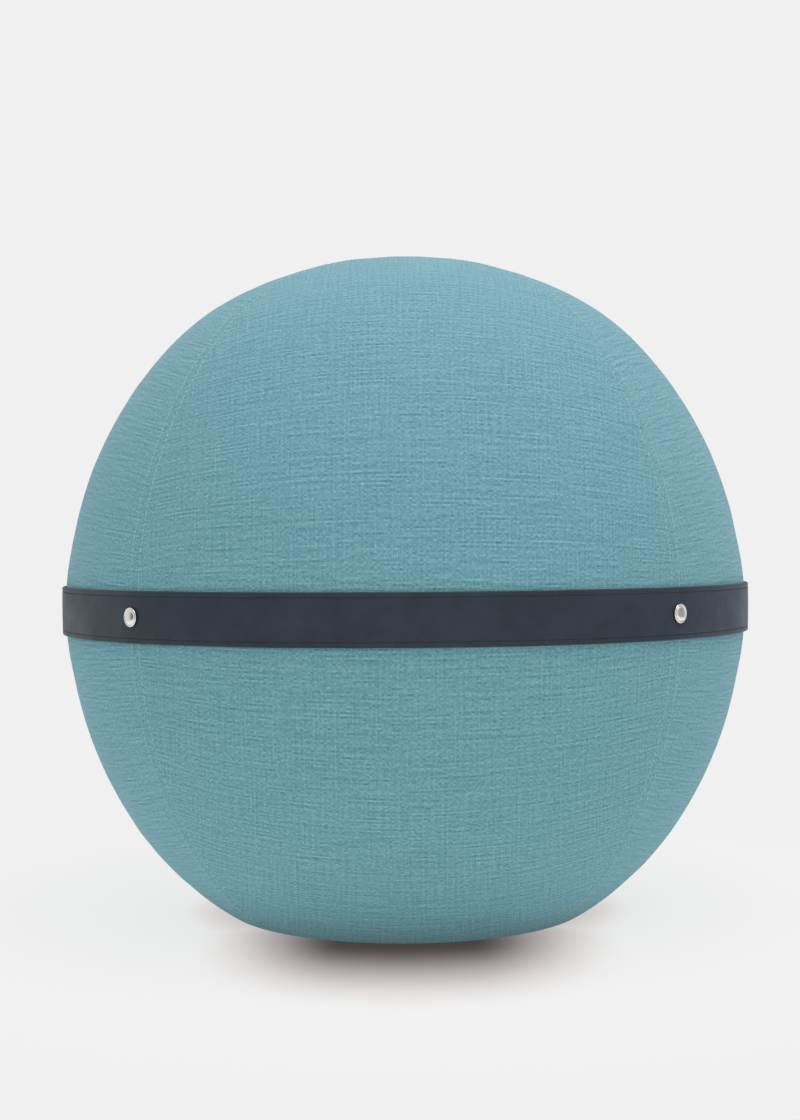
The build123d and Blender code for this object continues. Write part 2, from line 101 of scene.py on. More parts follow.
# Forms of the cover's cloth: a fade runs between two lengths, and a hollow has a depth and a width
OFF_BELT = (20 * MM, 65 * MM)
BELT_SIDE = (19.5 * MM, 28 * MM)
OFF_HEM = (60 * MM, 8 * MM)
CORNER_RUN = (40 * MM, 240 * MM)
RIDGE_RUN = (15 * MM, 120 * MM)
RIDGE_WIDTH = 9 * MM
SEAM_GROOVE = (0.35 * MM, 0.7 * MM)
STITCH_DENT = (0.15 * MM, 1.2 * MM)
BELT_LIFT = 0.25 * MM
SLOT_FADE = 2.5 * MM
SEAM_COLUMNS = np.array([0.01, 0.5, 1.0, 1.6, 2.3, 3.1, 3.9, 4.6, 5.3, 6.2, 7.6, 10, 13, 17]) * MM
MIDDLE_COLUMNS = 44
WEAVE_SHIFT = 13 * MM
SLANT_LATITUDES = (0.8, 1.4)
NEAR_POLE = 1.5707

# The cloth simulation of one panel's skin: its grid, its frames and the cloth's settings
SKIN_ROWS = 61
SKIN_COLUMNS = 33
SKIN_TOP = 12 * MM
SKIN_FRAMES = 20
SKIN_CLOTH = {
    "quality": 8,
    "mass": 0.02,
    "tension_stiffness": 40,
    "compression_stiffness": 40,
    "bending_stiffness": 2.0,
    "use_pressure": True,
    "uniform_pressure_force": 4.0,
}

# Stitch rows: how far they keep from the belt and from the seams' ends, and how high the thread lies
STITCH_CLEAR = 20.5 * MM
STITCH_END = 9 * MM
STITCH_LIFT = 0.12 * MM
RAY_START = 20 * MM
FOOT_ROWS = (50.5 * MM, 117 * MM, 135.5 * MM)
FOOT_THREAD = 0.8 * MM
FOOT_STITCH_LEVEL = 0.25 * MM
FOOT_STITCH_SHARE = 0.75

# Forms of the belt and its caps: rolled edges, a slight crown, stitch grooves, the lap, the caps' rings
# and shanks; a cap's dome starts at a height of DOME_FOOT rolls of its rim
EDGE_ROLL = 1.0 * MM
EDGE_FOLD = 0.45 * MM
FACE_CROWN = 0.15 * MM
BELT_GROOVE = (0.4 * MM, 0.55 * MM)
BACK_LAYER = 0.3 * MM
LAP_THIN = 0.55 * MM
LAP_RUN = (2 * MM, 34 * MM)
LAP_ROWS = (4 * MM, 30 * MM)
LAP_INSET = 2 * MM
STITCH_SUNK = 0.5 * MM
LAP_STITCH_SUNK = 0.05 * MM
CAP_RING = (0.3 * MM, 2.4 * MM)
CAP_RING_RADIUS = 7.5 * MM
CAP_STAND = 0.1 * MM
DOME_FOOT = 1.35
SHANK_RADIUS = 1.5 * MM
SHANK_LENGTH = 2.4 * MM
SHANK_DROP = 0.2 * MM

# Forms of the zip's coils, of rounded edges and of the air ball's flat underside with its ribs
COIL_EDGES = (0.2 * MM, 3.6 * MM)
COIL_THICKNESS = 1.3 * MM
COIL_LEAN = 0.2
SHARP_EDGE = math.radians(35)
RIB_HEIGHT = 0.7 * MM
RIB_PITCH = 6 * MM
RIB_REACH = 46 * MM
FLAT_INSET = 1.5 * MM

# Stage: the floor's size, the lamp and the camera's sensor
FLOOR_RADIUS = 1.3
FLOOR_DROP = 0.2 * MM
LAMP_PLACE = (0.45, -0.6, 2.3)
LAMP_SIZE = 1.6
SENSOR_WIDTH = 36


def linear(code):
    """Linear RGBA of an sRGB hex colour."""
    parts = [int(code[i : i + 2], 16) / 255 for i in (1, 3, 5)]
    return (*(c / 12.92 if c <= 0.04045 else ((c + 0.055) / 1.055) ** 2.4 for c in parts), 1.0)


def length(name, description, default):
    """A size in metres for a property group."""
    return FloatProperty(
        name=name, description=description, default=default, precision=5, subtype="DISTANCE", unit="LENGTH"
    )


def colour(name, description, default):
    """A colour for a property group, from its sRGB hex value."""
    return FloatVectorProperty(
        name=name, description=description, default=linear(default), size=4, min=0, max=1, subtype="COLOR"
    )


def angle(name, description, default):
    """An angle for a property group, from its value in degrees."""
    return FloatProperty(
        name=name, description=description, default=math.radians(default), subtype="ANGLE", unit="ROTATION"
    )


class CoverSettings(bpy.types.PropertyGroup):
    """The woven cover and its seams."""

    weave_light: colour("Weave light", "Colour of the pale slubs in the weave", "#82B3BD")
    weave_dark: colour("Weave dark", "Colour of the deep threads in the weave", "#467C86")
    weft_pitch: length("Weft pitch", "Spacing of the threads that run round the ball", 1.5 * MM)
    warp_pitch: length("Warp pitch", "Spacing of the threads that run up the ball", 1.5 * MM)
    slub_length: length("Slub length", "Length over which a thread keeps its tone", 40 * MM)
    fleck_length: length("Fleck length", "Length of the short flecks on a thread", 2.2 * MM)
    swell: length("Swell", "How far the pressed out cloth may move", 1.2 * MM)
    corner: FloatProperty(
        name="Corner",
        description="Share by which the seams stand further out than the panels",
        default=0.008,
    )
    ridge: length("Ridge", "Height that the folded cloth under a seam adds", 0.7 * MM)
    row_offset: length("Row offset", "Distance of a stitch row from the seam", 4.6 * MM)
    stitch_pitch: length("Stitch pitch", "Distance from one stitch to the next", 4.6 * MM)
    stitch_length: length("Stitch length", "Length of a stitch", 3.8 * MM)
    thread_width: length("Thread width", "Width of the topstitching thread", 0.7 * MM)
    thread: colour("Thread", "Colour of the topstitching thread", "#93BFB7")


class BeltSettings(bpy.types.PropertyGroup):
    """The belt and its stitching."""

    leather: colour("Leather", "Colour of the belt's face", "#242D36")
    lining: colour("Lining", "Colour of the belt's backing strip", "#2C3238")
    grain: length("Grain", "Size of a pebble in the leather's grain", 1.1 * MM)
    stitch_inset: length("Stitch inset", "Distance of the stitch groove from the belt's edge", 3.8 * MM)
    stitch_pitch: length("Stitch pitch", "Distance from one stitch to the next", 3.6 * MM)
    stitch_length: length("Stitch length", "Length of a stitch", 2.8 * MM)
    thread_width: length("Thread width", "Width of the belt's thread", 0.7 * MM)
    thread: colour("Thread", "Colour of the belt's thread", "#1A1823")


class SnapSettings(bpy.types.PropertyGroup):
    """The metal snaps."""

    radius: length("Cap radius", "Radius of a cap", 7.1 * MM)
    roll: length("Rim roll", "Radius of a cap's rolled rim", 0.75 * MM)
    height: length("Cap height", "Height of a cap's dome over the belt", 2.4 * MM)
    nickel: colour("Nickel", "Colour of the plated snaps", "#E2E0DD")


class ZipSettings(bpy.types.PropertyGroup):
    """The zip on the rear left seam."""

    tape: colour("Tape", "Colour of the zip's tapes", "#3E6F7A")
    coil: colour("Coil", "Colour of the zip's coils", "#4A7C86")
    metal: colour("Metal", "Colour of the slider, its pull and the stops", "#A9AAAC")
    pitch: length("Coil pitch", "Distance from one turn of the coil to the next", 1.3 * MM)
    wire: length("Wire radius", "Radius of the coil's wire", 0.32 * MM)


class FootSettings(bpy.types.PropertyGroup):
    """What is seen from below: the felt foot, the ballast's pocket and the air ball."""

    felt: colour("Felt", "Colour of the felt ring", "#4C5054")
    pocket: colour("Pocket", "Colour of the ballast's pocket", "#3B3F42")
    vinyl: colour("Vinyl", "Colour of the air ball", "#8D9296")
    rubber: colour("Rubber", "Colour of the valve", "#2A2B2D")
    plug: colour("Plug", "Colour of the valve's plug", "#D9DAD8")
    steel: colour("Steel", "Colour of the ballast ring", "#8B8E90")
    stitch_pitch: length("Stitch pitch", "Distance from one foot stitch to the next", 5 * MM)


class StageSettings(bpy.types.PropertyGroup):
    """The floor, the light and the camera."""

    floor: colour("Floor", "Colour of the floor", "#F0F0F0")
    backdrop: colour("Backdrop", "Colour behind the ball", "#F0F0F0")
    camera_distance: length("Camera distance", "Distance from the ball's middle", 1.5)
    camera_elevation: angle("Camera elevation", "Angle of the camera above the belt", 1.98)
    camera_roll: angle("Camera roll", "Turn of the camera about its view", -0.4)
    lens: FloatProperty(name="Lens", description="Focal length in millimetres", default=58.2)
    shift_x: FloatProperty(name="Shift X", description="Sideways shift of the view", default=-0.0047)
    shift_y: FloatProperty(name="Shift Y", description="Upward shift of the view", default=0.041)
    lamp_power: FloatProperty(
        name="Lamp power",
        description="Power of the soft lamp overhead",
        default=24,
        subtype="POWER",
        unit="POWER",
    )
    lamp: colour("Lamp", "Colour of the soft lamp overhead", "#FFE9F0")


def arc_radii(level, upright, turn_from, turn_to, known, radius):
    """Two radii of three tangent arcs that together span level and upright, in order."""
    cos_from, sin_from = math.cos(math.radians(turn_from)), math.sin(math.radians(turn_from))
    cos_to, sin_to = math.cos(math.radians(turn_to)), math.sin(math.radians(turn_to))
    spans = [(1 - cos_from, sin_from), (cos_from - cos_to, sin_to - sin_from), (cos_to, 1 - sin_to)]
    known_level, known_upright = spans.pop(known)
    left = np.array([level - radius * known_level, upright - radius * known_upright])
    return np.linalg.solve(np.array(spans).T, left)


def cover_arcs():
    """The outline's arcs from the top down: centre, radius and the angles from level, in radians."""
    flank, crown = arc_radii(EQUATOR_RADIUS, CROWN_RISE, SHOULDER_START, SHOULDER_END, 1, SHOULDER_RADIUS)
    level = EQUATOR_RADIUS - FOOT_RADIUS
    skirt, heel = arc_radii(level, EQUATOR_HEIGHT, HEEL_START, HEEL_END, 2, EDGE_RADIUS)
    turns = [90, SHOULDER_END, SHOULDER_START, 0, -HEEL_START, -HEEL_END, -90]
    radii = [crown, SHOULDER_RADIUS, flank, skirt, heel, EDGE_RADIUS]
    point = np.array([0, EQUATOR_HEIGHT + CROWN_RISE])
    arcs = []
    for radius, start, end in zip(radii, np.radians(turns[:-1]), np.radians(turns[1:])):
        centre = point - radius * np.array([math.cos(start), math.sin(start)])
        arcs.append((centre, radius, start, end))
        point = centre + radius * np.array([math.cos(end), math.sin(end)])
    return arcs


ARCS = cover_arcs()
ARC_ENDS = np.cumsum([radius * (start - end) for _, radius, start, end in ARCS])
OUTLINE_LENGTH = ARC_ENDS[-1]
EQUATOR_AT = ARC_ENDS[2]


def outline(run):
    """Radius, height and slope of the outline at lengths run from the top, as arrays."""
    run = np.clip(np.asarray(run, float), 0, OUTLINE_LENGTH)
    place = np.searchsorted(ARC_ENDS[:-1], run, side="right")
    begins = np.concatenate([[0], ARC_ENDS[:-1]])[place]
    centre = np.array([arc[0] for arc in ARCS])[place]
    radius = np.array([arc[1] for arc in ARCS])[place]
    slope = np.array([arc[2] for arc in ARCS])[place] - (run - begins) / radius
    return centre[..., 0] + radius * np.cos(slope), centre[..., 1] + radius * np.sin(slope), slope


def surface(run, azimuth, height):
    """Points over the outline, at a height off it and an azimuth in radians."""
    radius, level, slope = outline(run)
    radius = radius + height * np.cos(slope)
    return np.stack(
        [radius * np.cos(azimuth), radius * np.sin(azimuth), level + height * np.sin(slope)], axis=-1
    )


def surface_normal(run, azimuth):
    """Outward directions of the outline's surface."""
    slope, azimuth = np.broadcast_arrays(outline(run)[2], azimuth)
    return np.stack(
        [np.cos(slope) * np.cos(azimuth), np.cos(slope) * np.sin(azimuth), np.sin(slope)], axis=-1
    )


def ease(value, low, high):
    """A smooth step from 0 at low to 1 at high."""
    t = np.clip((value - low) / (high - low), 0, 1)
    return t * t * (3 - 2 * t)


def bump(value, width):
    """A smooth hump of height 1 about 0."""
    return np.exp(-((value / width) ** 2))


def add_node(tree, kind, inputs=None, **settings):
    """A node with its settings; an input takes a value, a socket to link or a node's first output."""
    made = tree.nodes.new(kind)
    for name, value in settings.items():
        setattr(made, name, value)
    for key, value in (inputs or {}).items():
        if isinstance(value, bpy.types.Node):
            value = value.outputs[0]
        if isinstance(value, bpy.types.NodeSocket):
            tree.links.new(value, made.inputs[key])
        else:
            made.inputs[key].default_value = value
    return made


def new_material(name):
    """An empty node material."""
    material = bpy.data.materials.new(name)
    material.use_nodes = True
    material.node_tree.nodes.clear()
    return material


def close_material(material, shader):
    """Joins a shader to the material's output."""
    add_node(material.node_tree, "ShaderNodeOutputMaterial", {"Surface": shader})
    return material


def shades(base, dark, pale):
    """A darker and a paler shade of a colour, as the two colours of a Mix node."""
    base = Vector(base[:3])
    return {6: (*(base * dark), 1), 7: (*(base * pale), 1)}


def woven_cover(settings):
    """Linen-look polyester, plain woven of slubbed yarn: matt, with pale and deep streaks along the weft.

    The real yarns lie about 0.8 mm apart; they are drawn nearly twice as coarse, so that they show.
    """
    material = new_material("woven_linen_look")
    tree = material.node_tree
    weave = add_node(tree, "ShaderNodeUVMap", uv_map="weave")

    # No thread runs quite straight: it strays in long waves and, by less, in short ones
    thread = weave
    for wave, reach in ((45 * MM, 1.2 * MM), (2.4 * MM, 0.7 * MM)):
        noise = add_node(tree, "ShaderNodeTexNoise", {"Vector": weave, "Scale": 1 / wave, "Detail": 1.0})
        stray = {0: noise.outputs["Color"], 1: (0.5, 0.5, 0.5)}
        stray = add_node(tree, "ShaderNodeVectorMath", stray, operation="SUBTRACT")
        stray = add_node(tree, "ShaderNodeVectorMath", {0: stray, "Scale": reach}, operation="SCALE")
        thread = add_node(tree, "ShaderNodeVectorMath", {0: thread, 1: stray}, operation="ADD")
    count = (1 / settings.warp_pitch, 1 / settings.weft_pitch, 0)
    cell = add_node(tree, "ShaderNodeVectorMath", {0: thread, 1: count}, operation="MULTIPLY")
    index = add_node(tree, "ShaderNodeVectorMath", {0: cell}, operation="FLOOR")
    part = add_node(tree, "ShaderNodeVectorMath", {0: cell}, operation="FRACTION")
    turn = add_node(tree, "ShaderNodeVectorMath", {0: part, "Scale": math.pi}, operation="SCALE")
    rounded = add_node(tree, "ShaderNodeVectorMath", {0: turn}, operation="SINE")
    along = add_node(tree, "ShaderNodeSeparateXYZ", {0: thread}).outputs
    number = add_node(tree, "ShaderNodeSeparateXYZ", {0: index}).outputs
    relief = add_node(tree, "ShaderNodeSeparateXYZ", {0: rounded}).outputs

    # Each thread keeps a tone over a long run, with short flecks on it, and stands out from the next thread
    tones = []
    for run, row, reach, step in (
        (along[0], number[1], settings.slub_length, 1.1),
        (along[0], number[1], settings.fleck_length, 1.3),
        (along[1], number[0], settings.slub_length, 0.8),
    ):
        run = add_node(tree, "ShaderNodeMath", {0: run, 1: 1 / reach}, operation="MULTIPLY")
        pair = []
        for ahead in (0, 1):
            line = {0: row, 1: step, 2: ahead * step}
            line = add_node(tree, "ShaderNodeMath", line, operation="MULTIPLY_ADD")
            spot = add_node(tree, "ShaderNodeCombineXYZ", {0: run, 1: line})
            noise = {"Vector": spot, "Scale": 1.0, "Detail": 1.0, "Roughness": 0.5}
            pair.append(add_node(tree, "ShaderNodeTexNoise", noise, noise_dimensions="2D"))
        tone = {0: pair[1], 1: -0.6, 2: pair[0]}
        tones.append(add_node(tree, "ShaderNodeMath", tone, operation="MULTIPLY_ADD"))
    weft, fleck, warp = tones

    # Plain weave: the thread on top changes from cell to cell
    both = add_node(tree, "ShaderNodeMath", {0: number[0], 1: number[1]}, operation="ADD")
    over = add_node(tree, "ShaderNodeMath", {0: both, 1: 2.0}, operation="FLOORED_MODULO")
    over = add_node(tree, "ShaderNodeMapRange", {0: over, 3: 0.1, 4: 0.27})
    weft = add_node(tree, "ShaderNodeMix", {0: 0.55, 2: weft, 3: fleck}, data_type="FLOAT")
    shade = add_node(tree, "ShaderNodeMix", {0: over, 2: weft, 3: warp}, data_type="FLOAT")
    # Each cell is rounded like a thread: its height feeds the bump, and in the tone it paints shade into
    # the gaps between threads
    pillow_and_gap_shade = add_node(tree, "ShaderNodeMath", {0: relief[0], 1: relief[1]}, operation="MULTIPLY")
    pillow_and_gap_shade = add_node(tree, "ShaderNodeMath", {0: pillow_and_gap_shade, 1: 0.5}, operation="POWER")

    # Uneven spinning gives fine fibres and small knots, and the dye took differently over broad patches
    fine = (1 / (2.4 * MM), 1 / (0.32 * MM), 0)
    strand = add_node(tree, "ShaderNodeVectorMath", {0: thread, 1: fine}, operation="MULTIPLY")
    strand = {"Vector": strand, "Scale": 1.0, "Detail": 2.0}
    fibre = add_node(tree, "ShaderNodeTexNoise", strand, noise_dimensions="2D")
    knots = add_node(tree, "ShaderNodeTexNoise", {"Vector": weave, "Scale": 1 / (2.8 * MM), "Detail": 1.0})
    patch = add_node(tree, "ShaderNodeTexNoise", {"Vector": weave, "Scale": 1 / (70 * MM), "Detail": 1.0})
    tone = add_node(tree, "ShaderNodeMath", {0: patch, 1: 0.05, 2: -0.38}, operation="MULTIPLY_ADD")
    # The rounded cells add painted shade between the threads to the tone
    for part, share in ((shade, 1.6), (knots, 0.35), (pillow_and_gap_shade, 0.2), (fibre, 0.4)):
        tone = add_node(tree, "ShaderNodeMath", {0: part, 1: share, 2: tone}, operation="MULTIPLY_ADD")
    dyes = {6: tuple(settings.weave_dark), 7: tuple(settings.weave_light)}
    cloth = add_node(tree, "ShaderNodeMix", {0: tone, **dyes}, data_type="RGBA").outputs[2]
    rise = add_node(tree, "ShaderNodeMath", {0: shade, 1: 1.2, 2: pillow_and_gap_shade}, operation="MULTIPLY_ADD")
    grain = add_node(tree, "ShaderNodeBump", {"Strength": 0.4, "Distance": 0.3 * MM, "Height": rise})
    shader = add_node(
        tree,
        "ShaderNodeBsdfPrincipled",
        {
            "Base Color": cloth,
            "Roughness": 0.9,
            "IOR": 1.46,
            "Specular IOR Level": 0.25,
            "Sheen Weight": 0.15,
            "Sheen Roughness": 0.4,
            "Sheen Tint": linear("#DDE5F2"),
            "Normal": grain,
        },
    )
    return close_material(material, shader)


def belt_leather(settings):
    """Coated microfibre, embossed with a fine grain: matt and dark, a little paler where it is rubbed."""
    material = new_material("embossed_faux_leather")
    tree = material.node_tree
    place = add_node(tree, "ShaderNodeTexCoord").outputs["Object"]
    cloud = {"Vector": place, "Scale": 1 / (28 * MM), "Detail": 4.0, "Roughness": 0.6}
    cloud = add_node(tree, "ShaderNodeTexNoise", cloud)
    pebble = add_node(
        tree, "ShaderNodeTexVoronoi", {"Vector": place, "Scale": 1 / settings.grain}, feature="SMOOTH_F1"
    ).outputs["Distance"]
    fine = add_node(tree, "ShaderNodeTexNoise", {"Vector": place, "Scale": 1 / (0.5 * MM), "Detail": 2.0})
    cloud = add_node(tree, "ShaderNodeMapRange", {0: cloud, 1: 0.3, 2: 0.7}, clamp=True)
    hide = add_node(
        tree, "ShaderNodeMix", {0: cloud, **shades(settings.leather, 0.82, 1.2)}, data_type="RGBA"
    ).outputs[2]
    gloss = add_node(tree, "ShaderNodeMapRange", {0: cloud, 3: 0.62, 4: 0.5})
    rise = add_node(tree, "ShaderNodeMath", {0: fine, 1: 0.4, 2: pebble}, operation="MULTIPLY_ADD")
    grain = add_node(tree, "ShaderNodeBump", {"Strength": 0.25, "Distance": 0.25 * MM, "Height": rise})
    shader = add_node(
        tree,
        "ShaderNodeBsdfPrincipled",
        {
            "Base Color": hide,
            "Roughness": gloss,
            "IOR": 1.5,
            "Specular IOR Level": 0.28,
            "Sheen Weight": 0.07,
            "Sheen Tint": linear("#86B4DC"),
            "Normal": grain,
        },
    )
    return close_material(material, shader)


def spun_thread(name, base):
    """Spun polyester sewing thread: dull, with a slightly uneven dye."""
    material = new_material(name)
    tree = material.node_tree
    place = add_node(tree, "ShaderNodeTexCoord").outputs["Object"]
    fibre = add_node(tree, "ShaderNodeTexNoise", {"Vector": place, "Scale": 1 / (1.2 * MM), "Detail": 2.0})
    dye = {0: fibre, **shades(base, 0.75, 1.2)}
    dye = add_node(tree, "ShaderNodeMix", dye, data_type="RGBA").outputs[2]
    twist = add_node(tree, "ShaderNodeBump", {"Strength": 0.3, "Distance": 0.1 * MM, "Height": fibre})
    shader = add_node(
        tree,
        "ShaderNodeBsdfPrincipled",
        {"Base Color": dye, "Roughness": 0.75, "IOR": 1.5, "Normal": twist},
    )
    return close_material(material, shader)


def plain_cloth(name, base, pitch, coarse):
    """Woven polyester for tapes, linings and pockets: a fine check of threads, dull."""
    material = new_material(name)
    tree = material.node_tree
    place = add_node(tree, "ShaderNodeUVMap", uv_map="weave")
    cell = add_node(tree, "ShaderNodeVectorMath", {0: place, "Scale": math.pi / pitch}, operation="SCALE")
    wave = add_node(tree, "ShaderNodeVectorMath", {0: cell}, operation="SINE")
    wave = add_node(tree, "ShaderNodeSeparateXYZ", {0: wave})
    check = add_node(tree, "ShaderNodeMath", {0: wave.outputs[0], 1: wave.outputs[1]}, operation="MULTIPLY")
    fibre = add_node(tree, "ShaderNodeTexNoise", {"Vector": place, "Scale": 1 / coarse, "Detail": 3.0})
    tone = add_node(tree, "ShaderNodeMath", {0: check, 1: 0.25, 2: fibre}, operation="MULTIPLY_ADD")
    cloth = {0: tone, **shades(base, 0.65, 1.3)}
    cloth = add_node(tree, "ShaderNodeMix", cloth, data_type="RGBA").outputs[2]
    grain = add_node(tree, "ShaderNodeBump", {"Strength": 0.5, "Distance": 0.15 * MM, "Height": tone})
    shader = add_node(
        tree,
        "ShaderNodeBsdfPrincipled",
        {"Base Color": cloth, "Roughness": 0.85, "IOR": 1.5, "Normal": grain},
    )
    return close_material(material, shader)


def pressed_felt(base):
    """Pressed wool felt: no threads, a matted mix of pale and dark fibres, quite dull."""
    material = new_material("pressed_wool_felt")
    tree = material.node_tree
    place = add_node(tree, "ShaderNodeTexCoord").outputs["Object"]
    clump = {"Vector": place, "Scale": 1 / (4 * MM), "Detail": 5.0, "Roughness": 0.7}
    clump = add_node(tree, "ShaderNodeTexNoise", clump)
    hair = {"Vector": place, "Scale": 1 / (1 * MM), "Detail": 3.0, "Distortion": 2.5}
    hair = add_node(tree, "ShaderNodeTexNoise", hair)
    mat = add_node(tree, "ShaderNodeMath", {0: clump, 1: hair}, operation="MULTIPLY")
    mat = add_node(tree, "ShaderNodeMapRange", {0: mat, 1: 0.1, 2: 0.4}, clamp=True)
    wool = {0: mat, **shades(base, 0.6, 1.5)}
    wool = add_node(tree, "ShaderNodeMix", wool, data_type="RGBA").outputs[2]
    nap = add_node(tree, "ShaderNodeBump", {"Strength": 0.6, "Distance": 0.4 * MM, "Height": mat})
    shader = add_node(
        tree,
        "ShaderNodeBsdfPrincipled",
        {"Base Color": wool, "Roughness": 0.95, "IOR": 1.5, "Sheen Weight": 0.2, "Normal": nap},
    )
    return close_material(material, shader)


def plated_metal(name, base, smooth, rough):
    """Plated brass, steel or zinc: metallic, polished in the press and finely scuffed in use."""
    material = new_material(name)
    tree = material.node_tree
    place = add_node(tree, "ShaderNodeTexCoord").outputs["Object"]
    scuff = {"Vector": place, "Scale": 1 / (1.5 * MM), "Detail": 4.0, "Roughness": 0.7}
    scuff = add_node(tree, "ShaderNodeTexNoise", scuff)
    plate = {0: scuff, **shades(base, 0.88, 1)}
    plate = add_node(tree, "ShaderNodeMix", plate, data_type="RGBA").outputs[2]
    gloss = add_node(
        tree, "ShaderNodeMapRange", {0: scuff, 1: 0.3, 2: 0.7, 3: smooth, 4: rough}, clamp=True
    )
    shader = add_node(
        tree, "ShaderNodeBsdfPrincipled", {"Base Color": plate, "Metallic": 1.0, "Roughness": gloss}
    )
    return close_material(material, shader)


def moulded(name, base, rough, pit):
    """Moulded vinyl, rubber, nylon or polyethylene: even colour, a faint mould texture, a soft shine."""
    material = new_material(name)
    tree = material.node_tree
    place = add_node(tree, "ShaderNodeTexCoord").outputs["Object"]
    skin = add_node(tree, "ShaderNodeTexNoise", {"Vector": place, "Scale": 1 / pit, "Detail": 3.0})
    dye = {0: skin, **shades(base, 0.9, 1.1)}
    dye = add_node(tree, "ShaderNodeMix", dye, data_type="RGBA").outputs[2]
    gloss = add_node(tree, "ShaderNodeMapRange", {0: skin, 3: rough - 0.08, 4: rough + 0.08})
    texture = add_node(tree, "ShaderNodeBump", {"Strength": 0.2, "Distance": 0.1 * MM, "Height": skin})
    shader = add_node(
        tree,
        "ShaderNodeBsdfPrincipled",
        {"Base Color": dye, "Roughness": gloss, "IOR": 1.5, "Normal": texture},
    )
    return close_material(material, shader)


def link_object(name, data):
    """A new object in the scene, at the origin."""
    made = bpy.data.objects.new(name, data)
    bpy.context.scene.collection.objects.link(made)
    return made


def new_object(name, points, faces, material, weave=None, sharp=40):
    """A mesh object from points and faces, with faces outward and edges sharper than an angle kept."""
    mesh = bpy.data.meshes.new(name)
    mesh.from_pydata(np.asarray(points).reshape(-1, 3).tolist(), [], faces)
    if weave is not None:
        corners = np.zeros(len(mesh.loops), np.int32)
        mesh.loops.foreach_get("vertex_index", corners)
        layer = mesh.uv_layers.new(name="weave")
        layer.data.foreach_set("uv", np.asarray(weave, np.float32).reshape(-1, 2)[corners].ravel())
    shape = bmesh.new()
    shape.from_mesh(mesh)
    bmesh.ops.remove_doubles(shape, verts=shape.verts, dist=1e-6)
    bmesh.ops.dissolve_degenerate(shape, edges=shape.edges, dist=1e-7)
    bmesh.ops.recalc_face_normals(shape, faces=shape.faces)
    shape.to_mesh(mesh)
    shape.free()
    mesh.shade_smooth()
    mesh.set_sharp_from_angle(angle=math.radians(sharp))
    mesh.materials.append(material)
    return link_object(name, mesh)


def grid_faces(rows, columns, wrap_rows=False, wrap_columns=False):
    """Quads over a grid of points numbered row by row."""
    number = np.arange(rows * columns).reshape(rows, columns)
    if wrap_rows:
        number = np.concatenate([number, number[:1]])
    if wrap_columns:
        number = np.concatenate([number, number[:, :1]], axis=1)
    quads = np.stack([number[:-1, :-1], number[:-1, 1:], number[1:, 1:], number[1:, :-1]], axis=-1)
    return quads.reshape(-1, 4).tolist()


def strip_faces(rows, count):
    """Quads round a closed section of count points that is swept over rows, and a face over each end."""
    last = (rows - 1) * count
    ends = [list(range(count)), [last + i for i in reversed(range(count))]]
    return grid_faces(rows, count, wrap_columns=True) + ends


def place_piece(piece, slot, *nodes, body=BODY):
    """Sets a finished piece on its body and hides the CAD nodes that it stands for; its slot is not used.
    """
    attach(piece, body)
    if nodes:
        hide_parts(*nodes)
    return piece


def turned_piece(name, profile, material, segments=192, sharp=40):
    """A closed outline of radius and height, turned about the ball's axis."""
    profile = np.asarray(profile, float)
    turn = np.linspace(0, 2 * math.pi, segments, endpoint=False)
    points = np.stack(
        [
            np.outer(np.cos(turn), profile[:, 0]),
            np.outer(np.sin(turn), profile[:, 0]),
            np.broadcast_to(profile[:, 1], (segments, len(profile))),
        ],
        axis=-1,
    )
    run = np.concatenate([[0], np.cumsum(np.hypot(*np.diff(profile, axis=0).T))])
    weave = np.stack(
        [
            np.outer(turn, np.full(len(profile), profile[:, 0].mean())),
            np.broadcast_to(run, (segments, len(profile))),
        ],
        axis=-1,
    )
    faces = grid_faces(segments, len(profile), wrap_rows=True, wrap_columns=True)
    return new_object(name, points, faces, material, weave, sharp)


def rounded_rectangle(low, high, radius, steps=4):
    """Corner points of a rectangle with round corners, in order."""
    (x0, y0), (x1, y1) = low, high
    x0, y0, x1, y1 = x0 + radius, y0 + radius, x1 - radius, y1 - radius
    corners = [(x1, y1), (x0, y1), (x0, y0), (x1, y0)]
    points = []
    for quarter, (x, y) in enumerate(corners):
        for turn in np.linspace(0, math.pi / 2, steps) + quarter * math.pi / 2:
            points.append((x + radius * math.cos(turn), y + radius * math.sin(turn)))
    return np.array(points)


def path_object(name, paths):
    """Lines of points with the direction that is up at each, as a mesh of loose edges."""
    mesh = bpy.data.meshes.new(name)
    points, ups, edges = [], [], []
    for line, up, closed in paths:
        first = len(points)
        points.extend(np.asarray(line).tolist())
        ups.extend(np.asarray(up).tolist())
        last = len(points) - 1
        edges.extend((i, i + 1) for i in range(first, last))
        if closed:
            edges.append((last, first))
    mesh.from_pydata(points, edges, [])
    up_attribute = mesh.attributes.new("up", "FLOAT_VECTOR", "POINT")
    up_attribute.data.foreach_set("vector", np.asarray(ups, np.float32).ravel())
    return link_object(name, mesh)


def new_tree(name, sizes):
    """A geometry node tree with a mesh in and out, and named inputs for its sizes and material."""
    tree = bpy.data.node_groups.new(name, "GeometryNodeTree")
    tree.is_modifier = True
    tree.interface.new_socket("Geometry", in_out="INPUT", socket_type="NodeSocketGeometry")
    for size in sizes:
        tree.interface.new_socket(size, in_out="INPUT", socket_type="NodeSocketFloat")
    tree.interface.new_socket("Material", in_out="INPUT", socket_type="NodeSocketMaterial")
    tree.interface.new_socket("Geometry", in_out="OUTPUT", socket_type="NodeSocketGeometry")
    return tree, tree.nodes.new("NodeGroupInput").outputs


